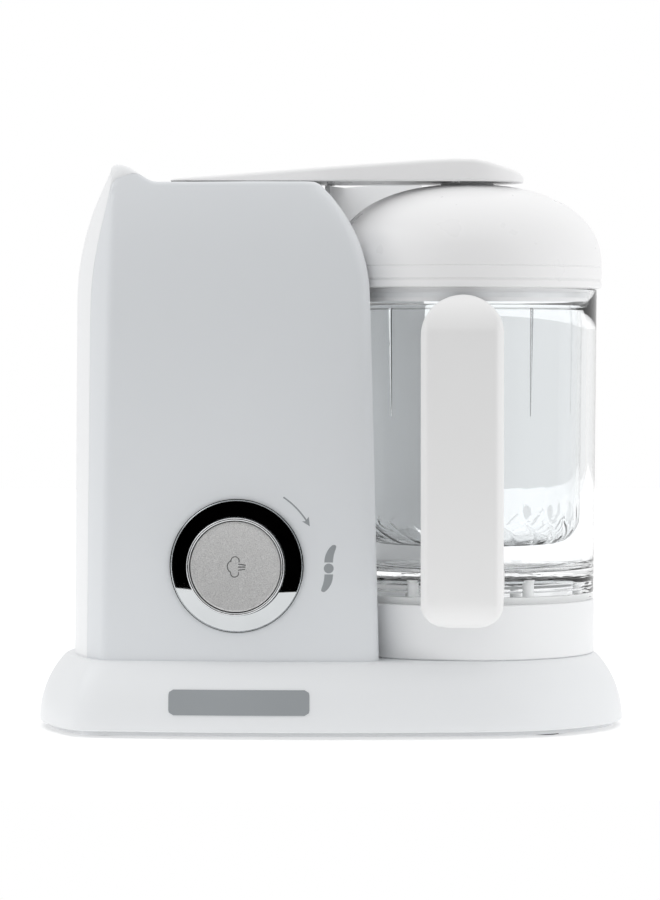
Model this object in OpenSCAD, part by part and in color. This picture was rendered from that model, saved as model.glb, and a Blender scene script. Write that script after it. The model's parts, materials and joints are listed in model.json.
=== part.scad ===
/* [Base] */
// Depth of the plinth, front to back
base_depth = 158; // [154:1:162]
// Height of the plinth's top face above the table
base_top = 35.3; // [34.8:0.1:35.8]
// Radius of the plinth's bulging side in section
bulge_r = 45; // [44:1:50]
// Radius of the long front and back curves in plan
front_r = 672; // [650:1:700]
// Radius of the round right end in plan
end_r = 75; // [74.5:0.1:75.5]
// Radius of the left side in plan
left_r = 118; // [116:1:120]
// How far left of the middle the plinth reaches
left_reach = 141; // [140:0.5:142]
// Wall of the plinth and the casing
wall = 2.5; // [2.2:0.1:2.8]

/* [Casing] */
// Height of the casing's flat top
deck_top = 260.8; // [260:0.1:261.2]
// Height of the ridge along the casing's left edge
ridge_top = 269.3; // [268:0.1:270]
// Step from the plinth's widest line in to the casing's front
casing_step = 15; // [14.6:0.1:15.6]
// How far left of the middle the casing reaches
casing_reach = 124; // [123:0.5:124.5]
// Radius of the casing's left side in plan
casing_left_r = 105; // [102:1:108]
// Where the front panel's right edge stands at the plinth
panel_right = 22.5; // [21.5:0.5:23]
// Radius of the hollow that the bowl stands in
recess_r = 66.5; // [66:0.1:67]
// Direction of the middle of the wall behind the dome, from the bowl's axis
collar_middle = 144; // [140:1:146]
// How far that wall reaches to either side of its middle, in degrees
collar_spread = 36; // [30:1:38]
// Slope of that wall's top towards the back, in degrees
collar_rise = 6; // [4:0.5:7]

/* [Bowl] */
// Distance of the bowl's axis from the middle
bowl_x = 66; // [65.5:0.1:66.5]
// Outer radius of the bowl at its rim
bowl_r = 62.5; // [62:0.1:62.8]
// Height of the bowl's rim
bowl_rim = 210.4; // [210:0.1:210.5]
// Height of the bowl's foot
bowl_foot = 61.5; // [61.4:0.1:61.6]
// Height of the bowl's inner floor
bowl_floor = 76; // [75.5:0.1:76.5]
// Outer radius of the basket under its flange
basket_r = 55.6; // [55:0.1:56]
// Turn of the handle to the left of straight ahead
handle_turn = 3.4; // [2:0.1:5]
// Width of the handle
handle_w = 38; // [36:1:40]
// How far the handle's face stands from the bowl's axis
handle_reach = 105; // [104:0.5:106]

/* [Controls] */
// Place of the knob to the left of the middle
knob_x = -44.2; // [-45:0.1:-43]
// Height of the knob's axis
knob_z = 80.1; // [79:0.1:81]
// Radius of the chrome dish around the knob
dish_r = 31.75; // [31:0.25:32]
// Radius of the knob
knob_r = 23; // [22.5:0.1:23.2]
// Travel of the steam button
button_travel = 2.5; // [2:0.1:2.6]

/* [Drive] */
// Radius of the motor's pulley
small_pulley_r = 8; // [7.5:0.5:8]
// Radius of the blade drive's pulley
large_pulley_r = 26; // [24:1:27]

/* [Hidden] */

$fn = 64;
big_fn = 360;

// Plan of the plinth: two long curves, tangent to the round right end
far_y = front_r - base_depth / 2;
front_cx = bowl_x - sqrt(pow(front_r - end_r, 2) - pow(far_y, 2));
wedge_x = (bowl_x - front_cx) / (front_r - end_r);
wedge_y = far_y / (front_r - end_r);
widest_z = 3.6;
shell_low = 3;
// The origin lies under the middle of the whole box, handle included
origin_shift = (handle_reach - base_depth / 2) / 2;

// Casing section and outline
roll_z = 190;
roll_r = 170;
casing_front_r = front_r - casing_step;
flank_z = 204;
flank_r = 125.4;
flank_cx = flank_r - casing_reach + 1.4;
shoulder_z = 205;
shoulder_r = 75;
shoulder_cx = panel_right - 4.2 - shoulder_r;
ridge_x = -101;
ridge_foot_x = -83;
split_y = -40;

// Heights along the bowl's axis
housing_r = bowl_r - 1.1;
housing_top = bowl_foot - 0.2;
seat_z = 50;
lid_low = bowl_rim + 0.4;
dome_r = bowl_r + 2.3;
dome_top = 261.2;
port_z = 258.2;

// Arm over the tank and the dome
arm_low = deck_top + 1;
arm_tip_x = -76.5;
arm_end_r = 27;
pin_x = -72.5;
pin_z = 256;
pin_r = 1.5;
tank_x = -36;
tank_r = 23;

// Motor in the casing, beside the bowl
motor_x = -55;
motor_y = 14;
belt_z = 13;
belt_w = 9;
motor_bore = 4.05;
bracket_turn = 42;
bracket_reach = 36.6;
trough_x = -81;
tab_turn = 20;
mark_x = -1.1;
badge_x = -43;
button_low = 28;
floor_low = bowl_floor - 3.5;
gland_y = 75.5;

module placed() {
    translate([0, origin_shift, 0]) children();
}

// Solid of revolution about an upright axis at a point of the plan
module upright(x, y, faces = 64) {
    translate([x, y, 0]) rotate_extrude($fn = faces) children();
}

// Tube between two heights
module ring(outer, inner, low, high) {
    translate([0, 0, low]) difference() {
        cylinder(r = outer, h = high - low);
        translate([0, 0, -1]) cylinder(r = inner, h = high - low + 2);
    }
}

// Half section of the plinth's bulging side at a reach from an axis
module base_section(reach, inset, low) {
    intersection() {
        translate([0, low]) square([reach, base_top - inset - low]);
        union() {
            translate([0, low]) square([reach - bulge_r, base_top - low]);
            translate([reach - bulge_r, widest_z]) circle(r = bulge_r - inset, $fn = 128);
        }
    }
}

// Block on one side of the lines where the long curves meet the round end
module plan_side(end_x) {
    side = 200;
    linear_extrude(height = 60) polygon([[bowl_x, 0],
        [bowl_x + wedge_x * side, -wedge_y * side], [end_x, -wedge_y * side],
        [end_x, wedge_y * side], [bowl_x + wedge_x * side, wedge_y * side]]);
}

// The whole plinth as a solid, its skin moved in by an inset
module base_block(inset, low) {
    intersection() {
        plan_side(-200);
        upright(front_cx, far_y, big_fn) base_section(front_r, inset, low);
        upright(front_cx, -far_y, big_fn) base_section(front_r, inset, low);
        union() {
            upright(left_r - left_reach, 0, 180) base_section(left_r, inset, low);
            translate([0, -base_depth, low]) cube([200, 2 * base_depth, 60]);
        }
    }
    intersection() {
        plan_side(bowl_x + 200);
        upright(bowl_x, 0, 180) base_section(end_r, inset, low);
    }
}

// Half section of the casing's front: upright, then rolling back to the top
module casing_section(reach, inset, low) {
    high = ridge_top - inset;
    intersection() {
        translate([0, low]) square([reach - inset, high - low]);
        union() {
            translate([0, low]) square([reach, roll_z - low]);
            translate([0, low]) square([reach - roll_r, high - low]);
            translate([reach - roll_r, roll_z]) circle(r = roll_r - inset, $fn = big_fn);
        }
    }
}

// Outline of the casing seen from the front
module casing_face(inset, low) {
    high = ridge_top - inset;
    side = 200;
    intersection() {
        polygon([[-casing_reach + inset, low], [panel_right - inset, low],
            [panel_right - 4.2 - inset, shoulder_z], [panel_right - 4.2 - inset, high],
            [-casing_reach + 1.4 + inset, high], [-casing_reach + 1.4 + inset, flank_z]]);
        union() {
            translate([-side, low]) square([2 * side, flank_z - low]);
            translate([flank_cx, low]) square([side, side]);
            translate([flank_cx, flank_z]) circle(r = flank_r - inset, $fn = 180);
        }
        union() {
            translate([-side, low]) square([2 * side, shoulder_z - low]);
            translate([-side, low]) square([side + shoulder_cx, high]);
            translate([shoulder_cx, shoulder_z]) circle(r = shoulder_r - inset, $fn = 180);
        }
        polygon([[-side, low], [side, low], [side, deck_top - inset],
            [ridge_foot_x, deck_top - inset], [ridge_x, high], [-side, high]]);
    }
}

// The whole casing as a solid, its skin moved in by an inset
module casing_block(inset, low) {
    difference() {
        intersection() {
            upright(front_cx, far_y, big_fn) casing_section(casing_front_r, inset, low);
            upright(front_cx, -far_y, big_fn) casing_section(casing_front_r, inset, low);
            translate([casing_left_r - casing_reach, 0, low])
                cylinder(r = casing_left_r - inset, h = ridge_top, $fn = 180);
            rotate([90, 0, 0]) translate([0, 0, -base_depth / 2])
                linear_extrude(height = base_depth) casing_face(inset, low);
        }
        translate([bowl_x, 0, low - 1])
            cylinder(r = recess_r + inset, h = ridge_top, $fn = 128);
    }
}

// Places children on the casing's front, their +Z along the outward normal
module on_front(x, z) {
    lean = asin((x - front_cx) / casing_front_r);
    translate([front_cx, far_y, z]) rotate([0, 0, lean])
        translate([0, -casing_front_r, 0]) rotate([90, 0, 0]) children();
}

boss_spots = [[-104, -34], [-104, 34], [8, -62], [8, 62], [119, 0]];
foot_spots = [[-106, -50], [-106, 50], [100, -48], [100, 48]];
rear_spots = [[-116.5, -22], [-116.5, 22], [-92, 52.4], [-30, 58.2]];
front_spots = [[-92, -52.4], [-8, -58.4]];
shell_spots = concat(rear_spots, front_spots);

module base_shell() {
    color("white") placed() difference() {
        union() {
            difference() {
                base_block(0, shell_low);
                base_block(wall, shell_low - 1);
            }
            for (p = boss_spots) translate([p.x, p.y, 4.2])
                cylinder(r = 4, h = base_top - wall - 4.2 + 0.5);
        }
        for (p = boss_spots) translate([p.x, p.y, 4]) cylinder(r = 1.3, h = 16);
        for (p = shell_spots) translate([p.x, p.y, 30]) cylinder(r = 1.7, h = 10);
        translate([bowl_x, 0, 20]) cylinder(r = 50, h = 30);
        translate([motor_x, motor_y, 20]) cylinder(r = 14, h = 30);
        for (i = [-2:2]) translate([motor_x + 4 * i - 1, motor_y + 20, 20]) cube([2, 24, 30]);
        translate([-80, base_depth / 2 - 20, 20]) rotate([-90, 0, 0]) cylinder(r = 5.2, h = 30);
    }
}

// Flat slab with the plinth's plan, moved in by an inset
module base_slab(inset, low, high) {
    thick = high - low;
    intersection() {
        plan_side(-200);
        translate([front_cx, far_y, low]) cylinder(r = front_r - inset, h = thick, $fn = big_fn);
        translate([front_cx, -far_y, low]) cylinder(r = front_r - inset, h = thick, $fn = big_fn);
        union() {
            translate([left_r - left_reach, 0, low])
                cylinder(r = left_r - inset, h = thick, $fn = 180);
            translate([0, -base_depth, low]) cube([200, 2 * base_depth, thick]);
        }
    }
    intersection() {
        plan_side(bowl_x + 200);
        translate([bowl_x, 0, low]) cylinder(r = end_r - inset, h = thick, $fn = 180);
    }
}

module bottom_plate() {
    color("whitesmoke") placed() difference() {
        base_slab(3.9, 1, 4);
        for (p = boss_spots) translate([p.x, p.y, 0]) {
            cylinder(r = 1.7, h = 10);
            cylinder(r = 3.4, h = 2.6);
        }
        for (p = foot_spots) translate([p.x, p.y, 0]) {
            cylinder(r = 8, h = 2.2);
            cylinder(r = 2.4, h = 10);
        }
        for (i = [-5:5]) translate([motor_x + 6 * i - 1.5, -24, 0]) cube([3, 48, 10]);
    }
}

module feet() {
    color("dimgray") placed() for (p = foot_spots) translate([p.x, p.y, 0]) {
        cylinder(r = 7.8, h = 2.2);
        cylinder(r = 2.3, h = 5);
        translate([0, 0, 4.1]) cylinder(r = 3.2, h = 1.2);
    }
}

module base_screws() {
    color("silver") placed() for (p = boss_spots) translate([p.x, p.y, 1.3]) difference() {
        union() {
            cylinder(r = 3, h = 1.3);
            cylinder(r = 1.3, h = 15);
        }
        for (a = [0, 90]) rotate(a) translate([-1.8, -0.3, -1]) cube([3.6, 0.6, 1.8]);
    }
}

module cord_gland() {
    color("dimgray") placed() translate([-80, 0, 20]) rotate([-90, 0, 0]) difference() {
        union() {
            translate([0, 0, gland_y - 15.5]) cylinder(r = 5.1, h = 15.5);
            translate([0, 0, gland_y - 15.5]) cylinder(r = 8, h = 2.6);
        }
        translate([0, 0, gland_y - 17]) cylinder(r = 3.2, h = 20);
    }
}

// Skin of the casing with every opening in it
module casing_skin() {
    difference() {
        casing_block(0, base_top);
        casing_block(wall, base_top - 1);
        on_front(knob_x, knob_z) translate([0, 0, -12]) cylinder(r = dish_r - 2.2, h = 24);
        deck_opening(0, 240, 280);
        for (i = [0:6]) translate([-90 + 9 * i, 50, 52]) cube([3.5, 30, 26]);
    }
}

// Opening in the casing's top, for the deck insert
module deck_opening(gap, low, high) {
    translate([0, 0, low]) linear_extrude(height = high - low) difference() {
        translate([ridge_foot_x - gap, -34 - gap]) square([71 + 2 * gap, 68 + 2 * gap]);
        translate([bowl_x, 0]) circle(r = recess_r + 5 - gap, $fn = 128);
    }
}

// Casing skin inside a block, with screw posts standing along its wall
module shell_part(at, size, spots) {
    difference() {
        union() {
            intersection() {
                casing_skin();
                translate(at) cube(size);
            }
            for (p = spots) translate([p.x, p.y, base_top]) cylinder(r = 4, h = 12);
        }
        for (p = spots) translate([p.x, p.y, base_top - 1]) cylinder(r = 1.3, h = 11);
    }
}

module front_shell() {
    color("white") placed() shell_part([-200, -200, 0], [400, 200 + split_y, 300], front_spots);
}

// Wall that carries the bowl's hollow on round the back of the dome
module rear_collar() {
    edge = 32;
    outer = recess_r + wall - 0.1;
    difference() {
        translate([bowl_x, 0, 0])
            sector(outer, recess_r + 0.05, base_top, ridge_top - 1, collar_middle, collar_spread);
        translate([-20, -20, deck_top]) cube([120, 20 + edge, 20]);
        translate([-20, edge, deck_top]) rotate([collar_rise, 0, 0]) cube([120, 80, 20]);
    }
}

module main_shell() {
    color("white") placed() union() {
        shell_part([-200, split_y, 0], [400, 200, 300], rear_spots);
        rear_collar();
    }
}

module shell_screws() {
    color("silver") placed() for (p = shell_spots) translate([p.x, p.y, base_top - wall - 1.4])
        difference() {
            union() {
                cylinder(r = 3, h = 1.4);
                cylinder(r = 1.3, h = 12);
            }
            for (a = [0, 90]) rotate(a) translate([-1.8, -0.3, -1]) cube([3.6, 0.6, 1.8]);
        }
}

module top_deck() {
    color("white") placed() difference() {
        union() {
            deck_opening(-0.3, deck_top - wall, deck_top);
            deck_opening(1.8, deck_top - wall - 2.2, deck_top - wall - 0.1);
            deck_opening(-0.3, deck_top - wall - 0.2, deck_top - wall + 0.1);
            translate([trough_x - 1.5, -33.2, 245]) cube([17, 66.4, 12]);
        }
        difference() {
            translate([trough_x, -31.2, 246.5]) cube([14, 62.4, 30]);
            translate([pin_x - 3.2, -4, 240]) cube([6.4, 8, pin_z - 240]);
            translate([pin_x, 4, pin_z]) rotate([90, 0, 0]) cylinder(r = 3.2, h = 8);
        }
        translate([tank_x, 0, 240]) cylinder(r = tank_r - 0.8, h = 40);
        translate([pin_x, 40, pin_z]) rotate([90, 0, 0]) cylinder(r = pin_r, h = 80);
    }
}

module hinge_pin() {
    color("silver") placed() translate([pin_x, 33, pin_z]) rotate([90, 0, 0])
        cylinder(r = pin_r, h = 66);
}

// Ring sector about the bowl's axis
module sector(outer, inner, low, high, middle, spread) {
    far = 2 * outer;
    intersection() {
        ring(outer, inner, low, high);
        rotate(middle) translate([0, 0, low - 1]) linear_extrude(height = high - low + 2)
            polygon([[0, 0], [far, -far * tan(spread)], [far, far * tan(spread)]]);
    }
}

module drive_housing() {
    color("white") placed() translate([bowl_x, 0, 0]) {
        difference() {
            union() {
                ring(housing_r, housing_r - 3, base_top, housing_top);
                ring(housing_r - 2.9, 6.5, seat_z - 3, seat_z);
                ring(9.5, 6.5, 33, seat_z);
            }
            for (a = [30:120:270]) rotate(a) translate([36, 0, 40]) cylinder(r = 2, h = 20);
        }
        for (a = [0:90:270]) sector(housing_r - 2.9, 56.4, 55.6, 58.6, a + tab_turn, 14);
    }
}

module bowl_base_ring() {
    color("white") placed() translate([bowl_x, 0, 0]) {
        ring(56, 50, 51, bowl_foot);
        ring(57.6, 50, bowl_foot, 64.5);
        for (a = [0:90:270]) sector(58, 55.9, 51.4, 55.2, a + tab_turn, 10);
        for (a = [0:60:300]) rotate(a) translate([53.5, 0, 64]) cylinder(r = 2.6, h = floor_low - 64);
    }
}

module water_tank() {
    color("silver") placed() upright(tank_x, 0) difference() {
        union() {
            translate([0, 213]) square([tank_r, 43]);
            translate([0, 205]) square([tank_r - 8, 20]);
            translate([tank_r - 8, 213]) circle(r = 8);
            translate([0, 255.2]) square([tank_r + 4, 0.8]);
        }
        translate([0, 213]) square([tank_r - 0.8, 50]);
        translate([0, 205.8]) square([tank_r - 8, 20]);
        intersection() {
            translate([tank_r - 8, 213]) circle(r = 7.2);
            square([100, 260]);
        }
        translate([-50, 0]) square([50, 300]);
    }
}

module tank_heater() {
    color("silver") placed() upright(tank_x, 0) {
        translate([0, 202.9]) square([17, 2]);
        translate([13, 199.9]) circle(r = 3.1);
    }
}

module thermostat() {
    color("dimgray") placed() translate([tank_x, 0, 0]) {
        ring(7, 2, 195, 202.8);
        translate([0, 0, 191]) cylinder(r = 5, h = 4.1);
        for (s = [-1, 1]) translate([s * 8 - 1.5, -0.5, 190]) cube([3, 1, 8]);
        translate([-9, -3, 195]) cube([18, 6, 2]);
    }
}

module at_motor() {
    placed() translate([motor_x, motor_y, 0]) children();
}

module motor_stator() {
    half = 31;
    color("slategray") at_motor() translate([0, 0, 66]) linear_extrude(height = 38) difference() {
        intersection() {
            square([2 * half, 2 * half], center = true);
            rotate(45) square([2.5 * half, 2.5 * half], center = true);
        }
        circle(r = 24);
        for (a = [45:90:315]) rotate(a) translate([35, 0]) circle(r = 2);
    }
}

module motor_windings() {
    color("peru") at_motor() {
        for (low = [58, 104]) upright(0, 0) translate([24.6, low]) {
            translate([0, 0.1]) square([4.4, 7.8]);
            translate([4.4, 4]) circle(r = 3.8);
        }
    }
}

// Bar across the motor's corners: cup for the bearing and a leg outside the windings at each end
module motor_bracket(low, leg_low, leg_high) {
    rotate(bracket_turn) difference() {
        union() {
            translate([-bracket_reach - 3, -13, low]) cube([2 * bracket_reach + 6, 26, 3]);
            translate([0, 0, low - 3]) cylinder(r = 11, h = 6);
            for (s = [-1, 1]) translate([s * bracket_reach, 0, leg_low])
                cylinder(r = 3, h = leg_high - leg_low);
        }
        translate([0, 0, low - 4]) cylinder(r = 8, h = 10);
    }
}

module motor_lower_bracket() {
    color("gray") at_motor() motor_bracket(47, 49, 66);
}

module motor_upper_bracket() {
    color("gray") at_motor() motor_bracket(125, 104, 126);
}

module motor_bearings() {
    color("silver") at_motor() for (low = [44.5, 122.5]) ring(8, motor_bore, low, low + 5);
}

module motor_mounts() {
    color("dimgray") at_motor() rotate(bracket_turn) for (x = [-26, 26], y = [-8, 8]) translate([x, y, 0]) {
        ring(5, 1.5, base_top, 38.5);
        ring(3.5, 1.5, 38.5, 44);
        ring(5, 1.5, 44, 47);
    }
}

module brush_holders() {
    color("peru") at_motor() for (a = [90, 270]) rotate(a) {
        translate([12.5, -4, 114.2]) difference() {
            cube([17, 8, 6]);
            translate([-1, 1.5, 1]) cube([16, 5, 4]);
        }
        translate([11.3, -2.4, 115.3]) cube([10, 4.8, 3.7]);
        translate([22, -2, 120.2]) cube([5, 4, 4.8]);
    }
}

module rotor_core() {
    color("slategray") at_motor() difference() {
        ring(23.3, 4, 67, 103);
        for (a = [0:30:330]) rotate(a) translate([22.4, -0.8, 60]) cube([3, 1.6, 50]);
    }
}

module motor_shaft() {
    color("silver") at_motor() translate([0, 0, 10]) cylinder(r = 4, h = 119);
}

module commutator() {
    color("peru") at_motor() difference() {
        ring(11, 4, 108, 121);
        for (a = [0:30:330]) rotate(a) translate([10, -0.3, 100]) cube([3, 0.6, 30]);
    }
}

module cooling_fan() {
    color("white") at_motor() {
        ring(7, 4, 51, 57);
        ring(20, 6.9, 51, 52);
        for (a = [0:40:320]) rotate(a) translate([6.5, -0.6, 51.5]) cube([14, 1.2, 5]);
    }
}

// Pulley between two flanges on a bored hub
module pulley(r, hub_high) {
    ring(r, 4, belt_z - 0.2, belt_z + belt_w + 0.2);
    ring(r + 2, 4, belt_z - 1.2, belt_z - 0.2);
    ring(r + 2, 4, belt_z + belt_w + 0.2, belt_z + belt_w + 1.2);
    ring(7, 4, belt_z + belt_w, hub_high);
}

module motor_pulley() {
    color("silver") at_motor() pulley(small_pulley_r, 26);
}

module at_bowl() {
    placed() translate([bowl_x, 0, 0]) children();
}

module drive_pulley() {
    color("dimgray") at_bowl() difference() {
        pulley(large_pulley_r, 28);
        for (a = [0:60:300]) rotate(a) translate([16.5, 0, 0]) cylinder(r = 5.5, h = 40);
    }
}

module drive_belt() {
    gap = 0.3;
    reach = norm([motor_x - bowl_x, motor_y]);
    color("dimgray") at_bowl() rotate(atan2(motor_y, motor_x - bowl_x))
        translate([0, 0, belt_z + 0.2]) linear_extrude(height = belt_w - 0.4) difference() {
            belt_outline(reach, gap + 1.6);
            belt_outline(reach, gap);
        }
}

// Loop around the two pulleys, grown by a distance
module belt_outline(reach, grow) {
    hull() {
        circle(r = large_pulley_r + grow, $fn = 72);
        translate([reach, 0]) circle(r = small_pulley_r + grow, $fn = 36);
    }
}

module drive_shaft() {
    color("silver") at_bowl() translate([0, 0, 10]) cylinder(r = 4, h = 43.8);
}

module shaft_clip() {
    color("silver") at_bowl() ring(6.4, 4, 31.4, 32.4);
}

module drive_bushes() {
    color("tan") at_bowl() for (low = [33.2, 43.8]) ring(6.5, motor_bore, low, low + 6);
}

// Half of a dog coupling: a disc with two dogs
module coupling(disc_low, disc_high, dog_low, dog_high, turn) {
    ring(9, 4, disc_low, disc_high);
    for (a = [0, 180]) sector(9, 5, dog_low, dog_high, a + turn, 20);
}

module drive_coupling() {
    color("dimgray") at_bowl() coupling(50.6, 54, 53.9, 60, 0);
}

module blade_shaft() {
    color("silver") at_bowl() {
        translate([0, 0, 61]) cylinder(r = 4, h = 19);
        coupling(61, 64, 55, 61.1, 90);
    }
}

module blade_bush() {
    color("dimgray") at_bowl() {
        ring(8, motor_bore, floor_low, bowl_floor + 0.4);
        ring(10, motor_bore, floor_low - 2, floor_low);
    }
}

module blade_hub() {
    color("whitesmoke") at_bowl() difference() {
        upright(0, 0) polygon([[0, 76.8], [9.5, 76.8], [9.5, 80], [8, 82], [5.5, 82],
            [5.5, 83.2], [8.5, 83.2], [8, 85], [5, 87], [0, 87.4]]);
        cylinder(r = 4, h = 80);
    }
}

module blade() {
    color("silver") at_bowl() translate([0, 0, 82]) linear_extrude(height = 1.2) difference() {
        union() {
            circle(r = 8);
            for (a = [90, 270]) rotate(a) intersection() {
                translate([10, -34]) circle(r = 40, $fn = 96);
                translate([12, 33]) circle(r = 36, $fn = 96);
            }
        }
        circle(r = 5.5);
    }
}

// Outline of the arm in plan, moved in by an inset
module arm_plan(inset) {
    translate([bowl_x, 0]) circle(r = arm_end_r - inset, $fn = 96);
    polygon([[arm_tip_x + inset, -25], [arm_tip_x + 5 + inset, inset - 30.5],
        [bowl_x - 0.8, inset - arm_end_r], [bowl_x - 0.8, arm_end_r - inset],
        [arm_tip_x + 5 + inset, 30.5 - inset], [arm_tip_x + inset, 25]]);
}

// Solid of the arm: its side view cut to its plan
module arm_block(inset, low, start) {
    intersection() {
        translate([0, 0, low]) linear_extrude(height = 20) arm_plan(inset);
        translate([0, 50, -inset]) rotate([90, 0, 0]) linear_extrude(height = 100)
            polygon([[arm_tip_x, 250], [arm_tip_x, arm_low + 1.1], [9, 269.5], [45, 272], [58, 272.6],
                [68, 272.5], [75, 271.4], [82, 269], [88.5, 265.8], [93, 262.6], [94, 250]]);
        translate([start, -50, 240]) cube([200, 100, 50]);
    }
}

module arm_cover() {
    color("white") placed() {
        difference() {
            arm_block(0, arm_low, arm_tip_x);
            arm_block(1.6, arm_low - 1, -50);
        }
        for (x = [0, 60], s = [-1, 1]) intersection() {
            translate([x, s * 18.5, 0]) ring(3, 0.9, arm_low + 1.3, 275);
            arm_block(0.5, arm_low, -50);
        }
        for (s = [-1, 1]) translate([pin_x, s * 16, 0]) difference() {
            union() {
                translate([0, 9, pin_z]) rotate([90, 0, 0]) cylinder(r = 3.2, h = 18);
                translate([-3.2, -9, pin_z]) cube([6.4, 18, arm_low + 0.2 - pin_z]);
            }
            translate([0, 20, pin_z]) rotate([90, 0, 0]) cylinder(r = pin_r + 0.06, h = 40);
        }
    }
}

module arm_liner() {
    color("white") placed() {
        difference() {
            arm_block(1.9, arm_low, -49.7);
            translate([-100, -50, arm_low + 1.2]) cube([250, 100, 50]);
            translate([tank_x, 0, 250]) cylinder(r = 8, h = 30);
            translate([bowl_x, 0, 250]) cylinder(r = 5, h = 30);
            for (x = [0, 60], s = [-1, 1]) translate([x, s * 18.5, 250]) cylinder(r = 1, h = 30);
        }
        intersection() {
            arm_block(1.9, arm_low + 1.1, -49);
            union() for (s = [-1, 1]) translate([-48, s * 10 - 0.6, 250]) cube([124, 1.2, 30]);
        }
    }
}

module tank_seal() {
    color("gainsboro") placed() translate([tank_x, 0, 0]) ring(28, 24.5, deck_top + 0.2, arm_low);
}

module outlet_seal() {
    color("gainsboro") placed() upright(bowl_x, 0)
        polygon([[5, arm_low], [5, 259.4], [6, port_z + 0.4], [10, port_z + 0.4], [12.5, 260.5],
            [13, arm_low]]);
}

module arm_screws() {
    color("silver") placed() for (x = [0, 60], s = [-1, 1])
        translate([x, s * 18.5, arm_low - 0.5]) difference() {
            union() {
                cylinder(r = 2, h = 0.5);
                cylinder(r = 0.9, h = 5.5);
            }
            for (a = [0, 90]) rotate(a) translate([-1.2, -0.2, -1]) cube([2.4, 0.4, 1.3]);
        }
}

// Height of the dome's skin at a radius: a full, slightly squared curve
function dome_height(r, reach, low, high) = low + (high - low) * pow(1 - pow(r / reach, 2.3), 1 / 2.3);

// Half section of the dome, solid down to a height
module dome_section(reach, high, low) {
    steps = 28;
    shoulder = 221;
    polygon(concat([[0, low], [reach, low]],
        [for (i = [0:steps]) let (a = 90 * i / steps)
            [reach * cos(a), dome_height(reach * cos(a), reach, shoulder, high)]]));
}

module lid_dome() {
    color("white") at_bowl() upright(0, 0, 128) difference() {
        union() {
            difference() {
                dome_section(dome_r, dome_top, lid_low);
                dome_section(dome_r - 2.4, dome_top - 2.4, lid_low - 1);
            }
            translate([0, port_z - 2]) square([18, 3]);
        }
        translate([0, port_z]) square([16, 10]);
        translate([0, 200]) square([5, 100]);
        translate([dome_r - 0.5, 214.2]) square([2, 0.9]);
        translate([dome_r - 0.3, 220.8]) square([2, 0.5]);
    }
}

module lid_inner() {
    color("white") at_bowl() {
        ring(58.8, 56.6, 204, 214);
        ring(dome_r - 2.5, 56.6, 211.4, 213.4);
    }
}

module lid_seal() {
    color("gainsboro") at_bowl() ring(59.3, 58.8, 206, 208.5);
}

// Slant of the bowl's side: it narrows a little towards the foot
function bowl_side(z) = bowl_r - 1.3 * (bowl_rim - z) / (bowl_rim - bowl_foot);

module bowl() {
    ledge = 200.5;
    color("lightcyan", 0.4) at_bowl() {
        upright(0, 0, 128) difference() {
            polygon([[8, floor_low], [57.8, floor_low], [57.8, bowl_foot], [bowl_side(bowl_foot), bowl_foot],
                [bowl_r, bowl_rim], [bowl_r - 2.8, bowl_rim], [bowl_r - 2.8, ledge], [58, ledge],
                [56.9, bowl_floor + 4], [55, bowl_floor + 1], [52, bowl_floor], [8, bowl_floor]]);
        }
        rotate(-handle_turn) for (low = [191, 66]) difference() {
            translate([-9, -70, low]) cube([18, 12, 9]);
            translate([0, 0, low - 1]) cylinder(r = bowl_r - 1.5, h = 11);
            translate([-6, -72, low + 2]) cube([12, 6, 5]);
        }
    }
}

// Side view of the handle: distance from the bowl's axis and height
module handle_side() {
    top = 207;
    low = 52;
    face = handle_reach;
    gap = face - 22;
    difference() {
        union() {
            translate([gap, low + 14]) square([face - gap, top - 36 - low]);
            translate([gap, top - 22]) circle(r = face - gap, $fn = 96);
            translate([60, top - 18]) square([gap - 60, 18]);
            translate([face - 14, low + 14]) circle(r = 14, $fn = 96);
            translate([gap, low]) square([8, 14]);
            translate([60, low + 12]) square([gap - 59, 15]);
        }
        translate([50, low + 27]) square([gap - 50, top - 18 - low - 27]);
        translate([0, 0]) square([61, 300]);
    }
}

// Front view of the handle: round top, flatter round foot
module handle_front() {
    top = 207;
    low = 52;
    half = handle_w / 2;
    translate([0, top - half]) circle(r = half, $fn = 96);
    translate([-half, low + 12]) square([handle_w, top - half - low - 12]);
    for (s = [-1, 1]) translate([s * (half - 12), low + 12]) circle(r = 12, $fn = 96);
    translate([12 - half, low]) square([handle_w - 24, 14]);
}

module bowl_handle() {
    color("white") at_bowl() rotate(-handle_turn) difference() {
        intersection() {
            rotate([90, 0, -90]) translate([0, 0, -30]) linear_extrude(height = 60) handle_side();
            rotate([90, 0, 0]) linear_extrude(height = 120) handle_front();
        }
        cylinder(r = bowl_r + 0.3, h = 300, $fn = 128);
        translate([-9.3, -70.3, 190.7]) cube([18.6, 20, 9.6]);
        translate([-9.3, -70.3, 65.7]) cube([18.6, 20, 9.6]);
        difference() {
            translate([-16.5, -handle_reach + 3, 82]) cube([33, 30, 98]);
            for (z = [96, 166]) translate([0, 19.8 - handle_reach, z]) rotate([90, 0, 0])
                cylinder(r = 3, h = 20);
        }
        for (z = [96, 166]) translate([0, -70, z]) rotate([90, 0, 0]) cylinder(r = 1.02, h = 29);
    }
}

module handle_insert() {
    color("white") at_bowl() rotate(-handle_turn) difference() {
        translate([-16.3, -handle_reach + 20, 82.2]) cube([32.6, 2, 97.6]);
        for (z = [96, 166]) translate([0, -70, z]) rotate([90, 0, 0]) {
            cylinder(r = 1, h = 40);
            cylinder(r = 2.2, h = 14);
        }
    }
}

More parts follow.
